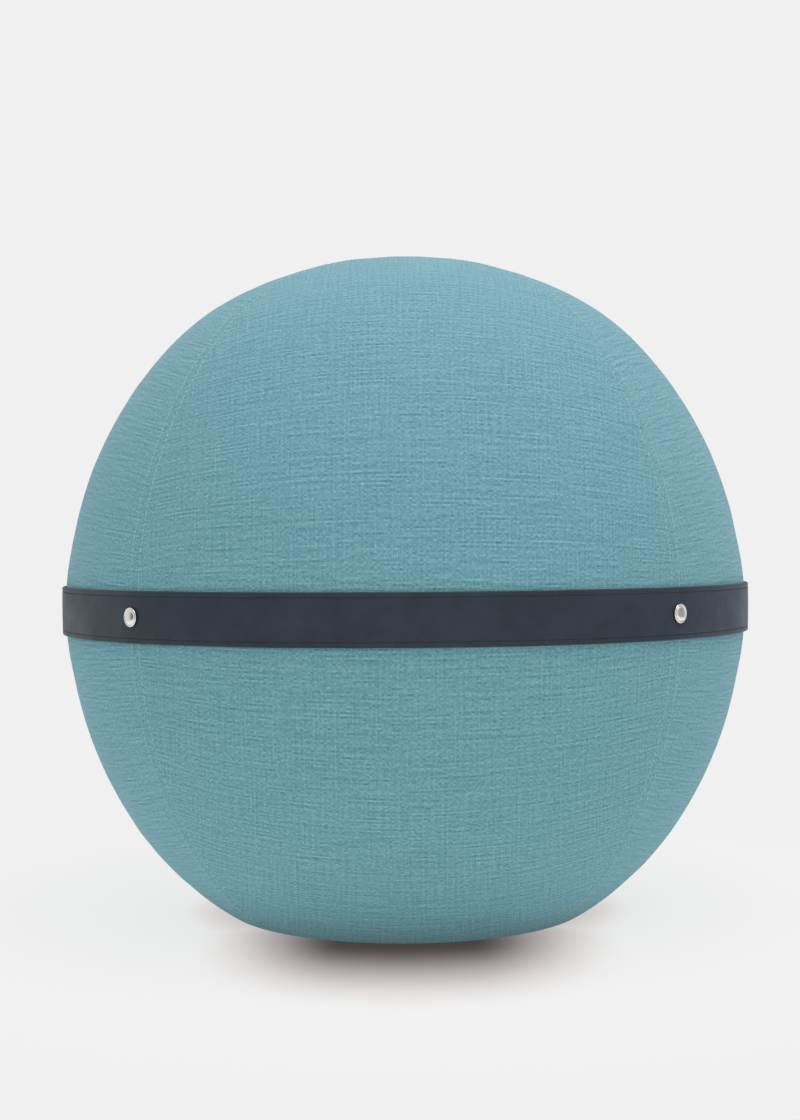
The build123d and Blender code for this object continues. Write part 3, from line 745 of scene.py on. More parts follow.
def set_on_points(tree, inputs, points, instance, tangent=None):
    """Ends a tree: the instance is set on points, turned to their up and a tangent, and made real."""
    up = add_node(tree, "GeometryNodeInputNamedAttribute", {"Name": "up"}, data_type="FLOAT_VECTOR")
    turn = add_node(tree, "FunctionNodeAlignRotationToVector", {"Vector": up}, axis="Z")
    if tangent is not None:
        turn = {"Rotation": turn, "Vector": tangent}
        turn = add_node(tree, "FunctionNodeAlignRotationToVector", turn, axis="X", pivot_axis="Z")
    placed = {"Points": points, "Instance": instance, "Rotation": turn}
    placed = add_node(tree, "GeometryNodeInstanceOnPoints", placed)
    real = add_node(tree, "GeometryNodeRealizeInstances", {"Geometry": placed})
    smooth = add_node(tree, "GeometryNodeSetShadeSmooth", {"Geometry": real})
    dressed = {"Geometry": smooth, "Material": inputs["Material"]}
    dressed = add_node(tree, "GeometryNodeSetMaterial", dressed)
    add_node(tree, "NodeGroupOutput", {"Geometry": dressed})
    return tree


def set_along_path(tree, inputs, instance):
    """Ends a tree: the instance is set along the path by the pitch, turned to the path and its up."""
    curve = add_node(tree, "GeometryNodeMeshToCurve", {"Mesh": inputs["Geometry"]})
    spaced = {"Curve": curve, "Length": inputs["Pitch"]}
    spaced = add_node(tree, "GeometryNodeResampleCurve", spaced, mode="LENGTH")
    tangent = add_node(tree, "GeometryNodeInputTangent")
    return set_on_points(tree, inputs, spaced, instance, tangent)


def stitch_tree():
    """Stitches along a path: each is a length of thread that dives into the cloth at both ends."""
    tree, inputs = new_tree("stitch_tree", ["Pitch", "Length", "Width"])
    bead = add_node(tree, "GeometryNodeMeshUVSphere", {"Segments": 8, "Rings": 6, "Radius": 0.5})
    size = add_node(
        tree, "ShaderNodeCombineXYZ", {0: inputs["Length"], 1: inputs["Width"], 2: inputs["Width"]}
    )
    turned = add_node(tree, "GeometryNodeTransform", {"Geometry": bead, "Rotation": (0, math.pi / 2, 0)})
    stitch = add_node(tree, "GeometryNodeTransform", {"Geometry": turned, "Scale": size})
    return set_along_path(tree, inputs, stitch)


def coil_tree():
    """Turns of a zip's coil along a path: each is a flattened ring of wire that leans along the path."""
    tree, inputs = new_tree("coil_tree", ["Pitch", "Width", "Thickness", "Wire", "Lean"])
    ring = add_node(tree, "GeometryNodeCurvePrimitiveCircle", {"Resolution": 12, "Radius": 0.5})
    size = add_node(tree, "ShaderNodeCombineXYZ", {0: inputs["Thickness"], 1: inputs["Width"], 2: 1.0})
    ring = add_node(tree, "GeometryNodeTransform", {"Geometry": ring, "Scale": size})
    lean = add_node(tree, "ShaderNodeCombineXYZ", {0: 0.0, 1: -math.pi / 2, 2: inputs["Lean"]})
    ring = add_node(tree, "GeometryNodeTransform", {"Geometry": ring, "Rotation": lean})
    section = add_node(
        tree, "GeometryNodeCurvePrimitiveCircle", {"Resolution": 6, "Radius": inputs["Wire"]}
    )
    turn = add_node(tree, "GeometryNodeCurveToMesh", {"Curve": ring, "Profile Curve": section})
    return set_along_path(tree, inputs, turn)


def cap_tree():
    """Snap caps on points: each is a low dome inside a rolled rim, on a plate and a shank."""
    tree, inputs = new_tree("cap_tree", ["Radius", "Roll", "Height"])
    middle = add_node(
        tree, "ShaderNodeMath", {0: inputs["Radius"], 1: inputs["Roll"]}, operation="SUBTRACT"
    )
    inner = add_node(tree, "ShaderNodeMath", {0: middle, 1: inputs["Roll"]}, operation="SUBTRACT")
    low = add_node(tree, "ShaderNodeMath", {0: inputs["Roll"], 1: DOME_FOOT}, operation="MULTIPLY")
    rise = add_node(tree, "ShaderNodeMath", {0: inputs["Height"], 1: low}, operation="SUBTRACT")
    ring = add_node(tree, "GeometryNodeCurvePrimitiveCircle", {"Resolution": 64, "Radius": middle})
    roll = add_node(tree, "GeometryNodeCurvePrimitiveCircle", {"Resolution": 16, "Radius": inputs["Roll"]})
    rim = add_node(tree, "GeometryNodeCurveToMesh", {"Curve": ring, "Profile Curve": roll})
    lift = add_node(tree, "ShaderNodeCombineXYZ", {2: inputs["Roll"]})
    rim = add_node(tree, "GeometryNodeTransform", {"Geometry": rim, "Translation": lift})
    dome = add_node(tree, "GeometryNodeMeshUVSphere", {"Segments": 64, "Rings": 24, "Radius": 1.0})
    lift = add_node(tree, "ShaderNodeCombineXYZ", {2: low})
    size = add_node(tree, "ShaderNodeCombineXYZ", {0: inner, 1: inner, 2: rise})
    dome = add_node(tree, "GeometryNodeTransform", {"Geometry": dome, "Translation": lift, "Scale": size})
    plate = add_node(
        tree, "GeometryNodeMeshCylinder", {"Vertices": 48, "Radius": middle, "Depth": inputs["Roll"]}
    )
    lift = add_node(tree, "ShaderNodeCombineXYZ", {2: inputs["Roll"]})
    plate = add_node(tree, "GeometryNodeTransform", {"Geometry": plate, "Translation": lift})
    shank = add_node(
        tree, "GeometryNodeMeshCylinder", {"Vertices": 32, "Radius": SHANK_RADIUS, "Depth": SHANK_LENGTH}
    )
    shank = add_node(tree, "GeometryNodeTransform", {"Geometry": shank, "Translation": (0, 0, -SHANK_DROP)})
    join = add_node(tree, "GeometryNodeJoinGeometry")
    for part in (rim, dome, plate, shank):
        tree.links.new(part.outputs[0], join.inputs[0])
    return set_on_points(tree, inputs, inputs["Geometry"], join)


def grown(name, path, tree, material, **sizes):
    """The plain mesh that a geometry node tree makes on a path; the path is used up."""
    modifier = path.modifiers.new(tree.name, "NODES")
    modifier.node_group = tree
    values = {"Material": material, **{key.capitalize(): value for key, value in sizes.items()}}
    for item in tree.interface.items_tree:
        if item.in_out == "INPUT" and item.name in values:
            modifier[item.identifier] = values[item.name]
    graph = bpy.context.evaluated_depsgraph_get()
    mesh = bpy.data.meshes.new_from_object(path.evaluated_get(graph))
    mesh.name = name
    path.modifiers.remove(modifier)
    bpy.data.objects.remove(path)
    return link_object(name, mesh)


def tree_for(make):
    """The tree that a function makes and names after itself, made once."""
    return bpy.data.node_groups.get(make.__name__) or make()


def stitched(name, paths, material, pitch, reach, width):
    """Rows of stitches along paths, each as long as its reach."""
    rows = path_object(f"{name}_rows", paths)
    return grown(name, rows, tree_for(stitch_tree), material, pitch=pitch, length=reach, width=width)


def edge_offset(run, seam):
    """How far a panel's edge stands back from a seam: a notch at each snap, and the slot for the zip."""
    run = run - EQUATOR_AT
    notch = np.sqrt(np.clip(SNAP_NOTCH**2 - run**2, 0, None))
    if seam != ZIP_AZIMUTH:
        return notch
    slot = SLOT_EDGE * ease(run, ZIP_START - SLOT_FADE, ZIP_START + SLOT_FADE)
    return np.maximum(notch, slot * (1 - ease(run, ZIP_END - SLOT_FADE, ZIP_END + SLOT_FADE)))


def panel_rows():
    """Lengths from the top for a panel's rows, close together at the belt, the snaps and the zip's ends."""
    rows = [np.linspace(0, OUTLINE_LENGTH, 150)]
    rows.append(EQUATOR_AT + np.arange(-7, 7.5, 0.75) * MM)
    for edge in (-BELT_HALF, BELT_HALF):
        rows.append(EQUATOR_AT + edge + np.arange(-8, 9, 2) * MM)
    for end in (ZIP_START, ZIP_END):
        rows.append(EQUATOR_AT + end + np.arange(-5, 5.5, 1) * MM)
    rows.append(OUTLINE_LENGTH - np.arange(0, 16, 2) * MM)
    run = np.unique(np.round(np.concatenate(rows), 6))
    keep = np.concatenate([[True], np.diff(run) > 0.3 * MM])
    run = run[keep]
    run[-1] = OUTLINE_LENGTH
    return run


def panel_height(settings, run, width, across, from_edge, swell):
    """Height of the cloth off the outline: swell, seam corners and ridges, less grooves and dents."""
    from_belt = np.abs(run - EQUATOR_AT)
    off_belt = ease(from_belt, *OFF_BELT)
    by_belt = ease(from_belt, *BELT_SIDE)
    off_floor = 1 - ease(run, OUTLINE_LENGTH - OFF_HEM[0], OUTLINE_LENGTH - OFF_HEM[1])
    share = np.abs(2 * across / np.maximum(width, MM) - 1)
    corner = settings.corner * outline(run)[0] * share**3 * off_belt * ease(run, *CORNER_RUN)
    ridge = settings.ridge * bump(from_edge, RIDGE_WIDTH) * by_belt * ease(run, *RIDGE_RUN)
    groove = SEAM_GROOVE[0] * bump(from_edge, SEAM_GROOVE[1])
    dent = STITCH_DENT[0] * bump(from_edge - settings.row_offset, STITCH_DENT[1]) * by_belt
    lift = BELT_LIFT * (1 - off_belt)
    return (swell * off_belt + lift + corner + ridge) * off_floor - groove - dent * off_floor


def swollen(settings):
    """How far a panel's cloth moves out when air presses on it, over run and share of the width.

    One panel's skin is held along its seams, the belt and the hem, and blown out by a cloth simulation.
    """
    grid = (SKIN_ROWS, SKIN_COLUMNS)
    run = np.linspace(SKIN_TOP, OUTLINE_LENGTH, SKIN_ROWS)
    share = np.linspace(0, 1, SKIN_COLUMNS)
    turn = math.radians(PANEL_START["front"]) + share * PANEL_ANGLE
    points = surface(run[:, None], turn[None, :], np.full(grid, -settings.swell))
    normal = surface_normal(run[:, None], np.broadcast_to(turn, grid))
    mesh = bpy.data.meshes.new("skin")
    mesh.from_pydata(points.reshape(-1, 3).tolist(), [], grid_faces(*grid))
    mesh.flip_normals()
    skin = link_object("skin", mesh)
    held = np.zeros(grid, bool)
    held[:, [0, -1]] = True
    held[[0, -1], :] = True
    held |= (np.abs(run - EQUATOR_AT) < BELT_HALF)[:, None]
    pins = skin.vertex_groups.new(name="held")
    pins.add(np.flatnonzero(held.ravel()).tolist(), 1.0, "REPLACE")
    cloth = skin.modifiers.new("air", "CLOTH")
    for name, value in SKIN_CLOTH.items():
        setattr(cloth.settings, name, value)
    cloth.settings.vertex_group_mass = "held"
    cloth.settings.effector_weights.gravity = 0
    cloth.point_cache.frame_start = 1
    cloth.point_cache.frame_end = SKIN_FRAMES
    scene = bpy.context.scene
    for step in range(1, SKIN_FRAMES + 1):
        scene.frame_set(step)
    graph = bpy.context.evaluated_depsgraph_get()
    moved = np.zeros(points.size, np.float32)
    skin.evaluated_get(graph).data.vertices.foreach_get("co", moved)
    out = ((moved.reshape(points.shape) - points) * normal).sum(-1)
    bpy.data.objects.remove(skin)
    scene.frame_set(1)
    return run, share, settings.swell * np.tanh(np.clip(out, 0, None) / settings.swell) - settings.swell


def sampled(field, run, share):
    """Values of a field over run and share, at other runs and shares."""
    runs, shares, values = field
    row = np.interp(run, runs, np.arange(len(runs)))
    column = np.interp(share, shares, np.arange(len(shares)))
    low_row = np.clip(row.astype(int), 0, len(runs) - 2)
    low_column = np.clip(column.astype(int), 0, len(shares) - 2)
    row, column = row - low_row, column - low_column
    top = values[low_row, low_column] * (1 - column) + values[low_row, low_column + 1] * column
    low = values[low_row + 1, low_column] * (1 - column) + values[low_row + 1, low_column + 1] * column
    return top * (1 - row) + low * row


def weave_place(run, turn):
    """Where a point lies in the panel's cloth, in metres along the weft and the warp.

    The weft runs level at the panel's middle and slants towards the belt at the seams, most near the tip.
    """
    above = EQUATOR_AT - run
    latitude = np.where(above > 0, above * math.pi / 2 / EQUATOR_AT, above / EQUATOR_RADIUS)
    slant = 0.5 + 0.5 * ease(latitude, *SLANT_LATITUDES)
    great = np.arctan2(np.tan(np.clip(latitude, -NEAR_POLE, NEAR_POLE)), np.cos(turn))
    along = np.arcsin(np.clip(np.cos(latitude) * np.sin(turn), -1, 1))
    return np.stack([along, (1 - slant) * latitude + slant * great], axis=-1) * EQUATOR_RADIUS


def panel_piece(settings, side, material, swell):
    """One padded panel of the cover, from its tip at the top to its hem at the floor."""
    first_seam = PANEL_START[side]
    last_seam = (first_seam + 90) % 360
    start = math.radians(first_seam)
    run = panel_rows()
    radius = np.maximum(outline(run)[0], 1e-7)
    width = radius * PANEL_ANGLE

    # Columns lie close together by each seam, and closer still where the panel gets narrow
    near = SEAM_COLUMNS * np.minimum(1, 0.35 * width / SEAM_COLUMNS[-1])[:, None]
    first = np.minimum(edge_offset(run, first_seam), 0.3 * width)[:, None]
    last = np.minimum(edge_offset(run, last_seam), 0.3 * width)[:, None]
    middle = np.linspace(0, 1, MIDDLE_COLUMNS)[1:-1]
    begin = first + near
    finish = width[:, None] - last - near[:, ::-1]
    across = np.concatenate([begin, begin[:, -1:] * (1 - middle) + finish[:, :1] * middle, finish], axis=1)
    width = np.broadcast_to(width[:, None], across.shape)
    runs = np.broadcast_to(run[:, None], across.shape)
    from_edge = np.minimum(across - first, width - last - across)
    turn = start + across / radius[:, None]
    height = panel_height(settings, runs, width, across, from_edge, sampled(swell, runs, across / width))

    # The inner face is plain, and thinner behind the zip's tapes
    from_zip = np.full(across.shape, np.inf)
    if first_seam == ZIP_AZIMUTH:
        from_zip = across
    elif last_seam == ZIP_AZIMUTH:
        from_zip = width - across
    below = runs - EQUATOR_AT
    behind = (below > ZIP_START - ZIP_TAIL - MM) & (below < ZIP_END + ZIP_TAIL + MM)
    behind &= from_zip < TAPE_EDGE + TAPE_ROOM[0]
    depth = np.where(behind, TAPE_DEPTH[0] - TAPE_ROOM[1], COVER_THICKNESS)
    outer = surface(runs, turn, height)
    inner = surface(runs, turn, -depth)
    rows, columns = across.shape
    total = rows * columns
    number = np.arange(total).reshape(rows, columns)
    faces = grid_faces(rows, columns)
    faces += [[i + total for i in reversed(face)] for face in grid_faces(rows, columns)]
    rim = np.concatenate([number[:, 0], number[-1, 1:], number[-2::-1, -1]])
    faces += [[a, b, b + total, a + total] for a, b in zip(rim[:-1].tolist(), rim[1:].tolist())]
    weave = weave_place(runs, turn - start - PANEL_ANGLE / 2) + first_seam * WEAVE_SHIFT
    piece = new_object(
        f"woven_panel_{side}",
        np.concatenate([outer.reshape(-1, 3), inner.reshape(-1, 3)]),
        faces,
        material,
        np.concatenate([weave.reshape(-1, 2), weave.reshape(-1, 2)]),
        sharp=60,
    )
    place_piece(piece, "cover_weave", f"cover_panel_{side}")
    return piece


class SITTINGBALL_OT_cover_panels(bpy.types.Operator):
    """Make the four padded panels of the woven cover"""

    bl_idname = "sitting_ball.cover_panels"
    bl_label = "Cover panels"

    def execute(self, context):
        settings = context.scene.ball_cover
        material = woven_cover(settings)
        swell = swollen(settings)
        for side in PANEL_START:
            panel_piece(settings, side, material, swell)
        return {"FINISHED"}


def laid_on(face, run, turn, lift):
    """Points of a path laid on a piece's outer face, lifted off it."""
    points = []
    for start, out in zip(surface(run, turn, RAY_START), surface_normal(run, turn)):
        place = face.ray_cast(Vector(start), Vector(-out))[0]
        if place is None:
            raise RuntimeError("A stitch row runs off the cover")
        points.append(place + lift * Vector(out))
    return points


class SITTINGBALL_OT_seam_stitching(bpy.types.Operator):
    """Make the two rows of topstitching beside each seam of the cover"""

    bl_idname = "sitting_ball.seam_stitching"
    bl_label = "Seam stitching"

    def execute(self, context):
        settings = context.scene.ball_cover
        stretches = [
            (STITCH_END, EQUATOR_AT - STITCH_CLEAR),
            (EQUATOR_AT + STITCH_CLEAR, OUTLINE_LENGTH - STITCH_END),
        ]
        graph = context.evaluated_depsgraph_get()
        paths = []
        for panel, first_seam in PANEL_START.items():
            face = BVHTree.FromObject(bpy.data.objects[f"woven_panel_{panel}"], graph)
            for seam, side in ((first_seam, 1), ((first_seam + 90) % 360, -1)):
                for low, high in stretches:
                    run = np.linspace(low, high, 200)
                    away = edge_offset(run, seam) + settings.row_offset
                    turn = math.radians(seam) + side * away / outline(run)[0]
                    line = laid_on(face, run, turn, STITCH_LIFT)
                    paths.append((line, surface_normal(run, turn), False))
        thread = spun_thread("spun_polyester_pale", settings.thread)
        sizes = (settings.stitch_pitch, settings.stitch_length, settings.thread_width)
        place_piece(stitched("seam_topstitching", paths, thread, *sizes), "cover_weave")
        return {"FINISHED"}


def belt_section(settings, belt_width, thickness):
    """Closed section of the belt's face: distances out from its back and up from its middle."""
    half = belt_width / 2
    groove_at = half - settings.stitch_inset
    edge = np.linspace(groove_at + 1.2 * MM, half - 0.05 * MM, 9)
    groove = np.linspace(groove_at - 1.2 * MM, groove_at + 0.9 * MM, 8)
    flat = np.linspace(2 * MM - groove_at, groove_at - 2 * MM, 15)
    level = np.concatenate([-edge[::-1], -groove[::-1], flat, groove, edge])
    from_edge = np.clip((half - np.abs(level)) / EDGE_ROLL, 0, 1)
    corner = np.sqrt(np.clip(1 - (1 - from_edge) ** 2, 0, 1))
    face = thickness - FACE_CROWN + FACE_CROWN * np.clip(1 - (level / groove_at) ** 2, 0, 1)
    face = face - BELT_GROOVE[0] * bump(np.abs(level) - groove_at, BELT_GROOVE[1])
    front = np.stack([EDGE_FOLD + (face - EDGE_FOLD) * corner, level], axis=-1)
    back = [(0.15 * MM, half - 0.1 * MM), (0, half - 0.5 * MM)]
    back += [(out, -up) for out, up in reversed(back)]
    return np.concatenate([front, back])


def belt_turns():
    """Azimuths round the belt from its outer end, close together at each snap."""
    end = math.radians(LAP_END_AZIMUTH)
    turns = [np.linspace(0, 2 * math.pi, 541)]
    for seam in PANEL_START.values():
        near = (math.radians(seam) - end) % (2 * math.pi)
        turns.append(near + np.arange(-16, 16.5, 1) * MM / EQUATOR_RADIUS)
    turns.append(np.arange(0, 8) * MM / EQUATOR_RADIUS)
    return end + np.unique(np.round(np.concatenate(turns), 6))


def lap_thinning(turn):
    """How much thinner the belt is at azimuths past its outer end, where it starts under its own lap."""
    past = (turn - math.radians(LAP_END_AZIMUTH)) * EQUATOR_RADIUS
    return LAP_THIN * (1 - ease(past, *LAP_RUN))


class SITTINGBALL_OT_belt(bpy.types.Operator):
    """Make the belt's face strip and its lining"""

    bl_idname = "sitting_ball.belt"
    bl_label = "Belt"

    def execute(self, context):
        settings = context.scene.ball_belt
        low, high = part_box("belt_face")
        section = belt_section(settings, high.z - low.z, high.x - BELT_INNER)
        turn = belt_turns()
        out = np.broadcast_to(section[:, 0], (len(turn), len(section))).copy()
        up = np.broadcast_to(section[:, 1], out.shape)

        # The strip starts thin under its own outer end, and each cap presses a shallow ring into it
        out -= lap_thinning(turn)[:, None] * (out > BACK_LAYER)
        for seam in PANEL_START.values():
            around = (turn - math.radians(seam) + math.pi) % (2 * math.pi) - math.pi
            distance = np.hypot(around[:, None] * EQUATOR_RADIUS, up)
            press = CAP_RING[0] * bump(np.maximum(distance - CAP_RING_RADIUS, 0), CAP_RING[1])
            out -= press * (section[:, 0] > MM)
        radius = BELT_INNER + out
        points = np.stack(
            [radius * np.cos(turn)[:, None], radius * np.sin(turn)[:, None], EQUATOR_HEIGHT + up], axis=-1
        )
        faces = strip_faces(len(turn), len(section))
        strap = new_object("belt_strap", points, faces, belt_leather(settings), sharp=50)
        place_piece(strap, "belt_leather", "belt_face")

        half = (high.z - low.z) / 2
        section = rounded_rectangle(
            (LINING_DEPTH[0], EQUATOR_HEIGHT - half), (LINING_DEPTH[1], EQUATOR_HEIGHT + half), 0.4 * MM
        )
        cloth = plain_cloth("woven_nylon_backing", settings.lining, 0.9 * MM, 3 * MM)
        lining = turned_piece("belt_backing_strip", section, cloth, segments=360)
        place_piece(lining, "belt_backing", "belt_lining")
        return {"FINISHED"}


class SITTINGBALL_OT_belt_stitching(bpy.types.Operator):
    """Make the belt's two rows of stitches and the rows that close its lap"""

    bl_idname = "sitting_ball.belt_stitching"
    bl_label = "Belt stitching"

    def execute(self, context):
        settings = context.scene.ball_belt
        low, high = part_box("belt_face")
        row = (high.z - low.z) / 2 - settings.stitch_inset
        end = math.radians(LAP_END_AZIMUTH)
        inset = MM / EQUATOR_RADIUS
        turn = end + np.linspace(inset, 2 * math.pi - inset, 720)
        radius = high.x - STITCH_SUNK - lap_thinning(turn)
        up = np.stack([np.cos(turn), np.sin(turn), np.zeros(len(turn))], axis=-1)
        paths = []
        for side in (-1, 1):
            level = np.full(len(turn), EQUATOR_HEIGHT + side * row)
            line = np.stack([radius * np.cos(turn), radius * np.sin(turn), level], axis=-1)
            paths.append((line, up, False))
        for back in LAP_ROWS:
            angle_back = end - back / EQUATOR_RADIUS
            out = (math.cos(angle_back), math.sin(angle_back), 0)
            level = EQUATOR_HEIGHT + np.linspace(LAP_INSET - row, row - LAP_INSET, 24)
            reach = high.x - LAP_STITCH_SUNK
            line = [(reach * out[0], reach * out[1], z) for z in level]
            paths.append((line, [out] * len(level), False))
        thread = spun_thread("spun_polyester_dark", settings.thread)
        sizes = (settings.stitch_pitch, settings.stitch_length, settings.thread_width)
        place_piece(stitched("belt_topstitching", paths, thread, *sizes), "belt_leather")
        return {"FINISHED"}


def finish_node(node, material):
    """Gives a CAD node its material."""
    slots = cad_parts[node].data.materials
    slots.clear()
    slots.append(material)


class SITTINGBALL_OT_snaps(bpy.types.Operator):
    """Make the four snap caps, and finish the snap parts behind them"""

    bl_idname = "sitting_ball.snaps"
    bl_label = "Snaps"

    def execute(self, context):
        settings = context.scene.ball_snaps
        nickel = plated_metal("nickel_plated_brass", settings.nickel, 0.1, 0.2)
        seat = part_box("belt_face")[1].x + CAP_STAND
        spots = []
        for seam in PANEL_START.values():
            out = (math.cos(math.radians(seam)), math.sin(math.radians(seam)), 0)
            spots.append(([(seat * out[0], seat * out[1], EQUATOR_HEIGHT)], [out], False))
        caps = grown(
            "snap_cap_set",
            path_object("cap_spots", spots),
            tree_for(cap_tree),
            nickel,
            radius=settings.radius,
            roll=settings.roll,
            height=settings.height,
        )
        place_piece(caps, "snap_nickel", "snap_caps")
        for node in ("snap_sockets", "snap_studs", "snap_posts"):
            finish_node(node, nickel)
        return {"FINISHED"}


def softened_copy(name, node, material, width, slot, body=BODY):
    """A copy of a CAD node with its edges rounded off, to stand for it."""
    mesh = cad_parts[node].data.copy()
    mesh.name = name
    mesh.materials.clear()
    mesh.materials.append(material)
    shape = bmesh.new()
    shape.from_mesh(mesh)
    bmesh.ops.remove_doubles(shape, verts=shape.verts, dist=1e-6)
    bmesh.ops.dissolve_limit(
        shape, angle_limit=math.radians(1), verts=shape.verts, edges=shape.edges, delimit=set()
    )
    sharp = [edge for edge in shape.edges if edge.is_manifold and edge.calc_face_angle(0) > SHARP_EDGE]
    bmesh.ops.bevel(
        shape, geom=sharp, offset=width, segments=3, profile=0.5, affect="EDGES", clamp_overlap=True
    )
    shape.to_mesh(mesh)
    shape.free()
    mesh.shade_smooth()
    mesh.set_sharp_from_angle(angle=SHARP_EDGE)
    return place_piece(link_object(name, mesh), slot, node, body=body)


def zip_strip(name, side, material):
    """One woven tape of the zip, along the seam."""
    run = EQUATOR_AT + np.linspace(ZIP_START - ZIP_TAIL, ZIP_END + ZIP_TAIL, 140)
    section = rounded_rectangle((0.4 * MM, -TAPE_DEPTH[1]), (TAPE_EDGE, -TAPE_DEPTH[0]), 0.25 * MM)
    radius = outline(run)[0]
    turn = math.radians(ZIP_AZIMUTH) + side * section[:, 0] / radius[:, None]
    runs = np.broadcast_to(run[:, None], turn.shape)
    points = surface(runs, turn, np.broadcast_to(section[:, 1], turn.shape))
    weave = np.stack([np.broadcast_to(section[:, 0], turn.shape), runs], axis=-1)
    return new_object(name, points, strip_faces(len(run), len(section)), material, weave)


def slim_neck(slider):
    """Thins the neck between the slider's plates, so that it runs between the coils."""
    azimuth = math.radians(ZIP_AZIMUTH)
    across = Vector((-math.sin(azimuth), math.cos(azimuth), 0))
    for vertex in slider.data.vertices:
        aside = vertex.co.dot(across)
        if abs(aside) < NECK_REACH:
            vertex.co -= (1 - NECK_SHARE) * aside * across


class SITTINGBALL_OT_zip(bpy.types.Operator):
    """Make the zip: tapes, coils, stops, slider and pull"""

    bl_idname = "sitting_ball.zip"
    bl_label = "Zip"

    def execute(self, context):
        settings = context.scene.ball_zip
        tape = plain_cloth("woven_polyester_tape", settings.tape, 0.7 * MM, 1.5 * MM)
        nylon = moulded("nylon_coil", settings.coil, 0.4, 0.6 * MM)
        metal = plated_metal("die_cast_zinc", settings.metal, 0.22, 0.4)
        inner, outer = COIL_EDGES
        reach = (inner + outer) / 2
        for side, hand in ((1, "left"), (-1, "right")):
            place_piece(zip_strip(f"zip_tape_woven_{hand}", side, tape), "zip_tape", f"zip_tape_{hand}")
            shift = settings.pitch / 2 if side < 0 else 0
            run = EQUATOR_AT + np.linspace(COIL_RUN[0] + shift, COIL_RUN[1], 200)
            turn = math.radians(ZIP_AZIMUTH) + side * reach / outline(run)[0]
            path = (surface(run, turn, np.full(len(run), -COIL_DEPTH)), surface_normal(run, turn), False)
            coil = grown(
                f"zip_coil_turns_{hand}",
                path_object("coil_path", [path]),
                tree_for(coil_tree),
                nylon,
                pitch=settings.pitch,
                width=outer - inner - 2 * settings.wire,
                thickness=COIL_THICKNESS - 2 * settings.wire,
                wire=settings.wire,
                lean=side * COIL_LEAN,
            )
            place_piece(coil, "zip_coil", f"zip_coil_{hand}")
        for node in ("zip_top_stops", "zip_bottom_stop"):
            softened_copy(f"{node}_pressed", node, metal, 0.25 * MM, "zip_metal")
        slider = softened_copy(
            "zip_slider_cast", "zip_slider", metal, 0.25 * MM, "zip_metal", body="zip_slider"
        )
        slim_neck(slider)
        softened_copy("zip_pull_cast", "zip_pull", metal, 0.3 * MM, "zip_metal", body="zip_pull")
        return {"FINISHED"}


def air_ball_profile():
    """Closed outline of the air ball's wall: from the top down to the valve's hole, and back inside."""
    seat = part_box("inner_ball")[0].z

    def wall(inset, floor):
        """The outline, drawn in by the inset, down to just above a floor."""
        run = np.linspace(0, OUTLINE_LENGTH, 160)
        radius, level, slope = outline(run)
        radius, level = radius - inset * np.cos(slope), level - inset * np.sin(slope)
        keep = level > floor + 0.3 * MM
        return radius[keep], level[keep]

    radius, level = wall(BALL_INSET, seat)
    rings = np.linspace(VALVE_HOLE, radius[-1] - FLAT_INSET, 120)
    wave = (1 - np.cos(2 * math.pi * (rings - VALVE_HOLE) / RIB_PITCH)) / 2
    ribs = seat + RIB_HEIGHT * wave * (rings < RIB_REACH)
    outside = list(zip(radius, level)) + list(zip(rings[::-1], ribs[::-1]))
    radius, level = wall(BALL_INSET + BALL_WALL, seat + BALL_WALL)
    inside = [(VALVE_HOLE, seat + BALL_WALL + RIB_HEIGHT), (radius[-1] - FLAT_INSET, seat + BALL_WALL)]
    inside += list(zip(radius[::-1], level[::-1]))
    return outside + inside


class SITTINGBALL_OT_air_ball(bpy.types.Operator):
    """Make the air ball, its valve and its plug"""

    bl_idname = "sitting_ball.air_ball"
    bl_label = "Air ball"

    def execute(self, context):
        settings = context.scene.ball_foot
        vinyl = moulded("blow_moulded_vinyl", settings.vinyl, 0.45, 1.2 * MM)
        ball = turned_piece("vinyl_ball", air_ball_profile(), vinyl, segments=128)
        place_piece(ball, "ball_vinyl", "inner_ball")
        rubber = moulded("moulded_rubber", settings.rubber, 0.6, 0.8 * MM)
        softened_copy("valve_rubber_seat", "valve_seat", rubber, 0.3 * MM, "valve_rubber")
        plug = moulded("moulded_polyethylene", settings.plug, 0.4, 1.5 * MM)
        softened_copy("valve_stopper", "valve_plug", plug, 0.3 * MM, "plug_plastic", body="valve_plug")
        return {"FINISHED"}


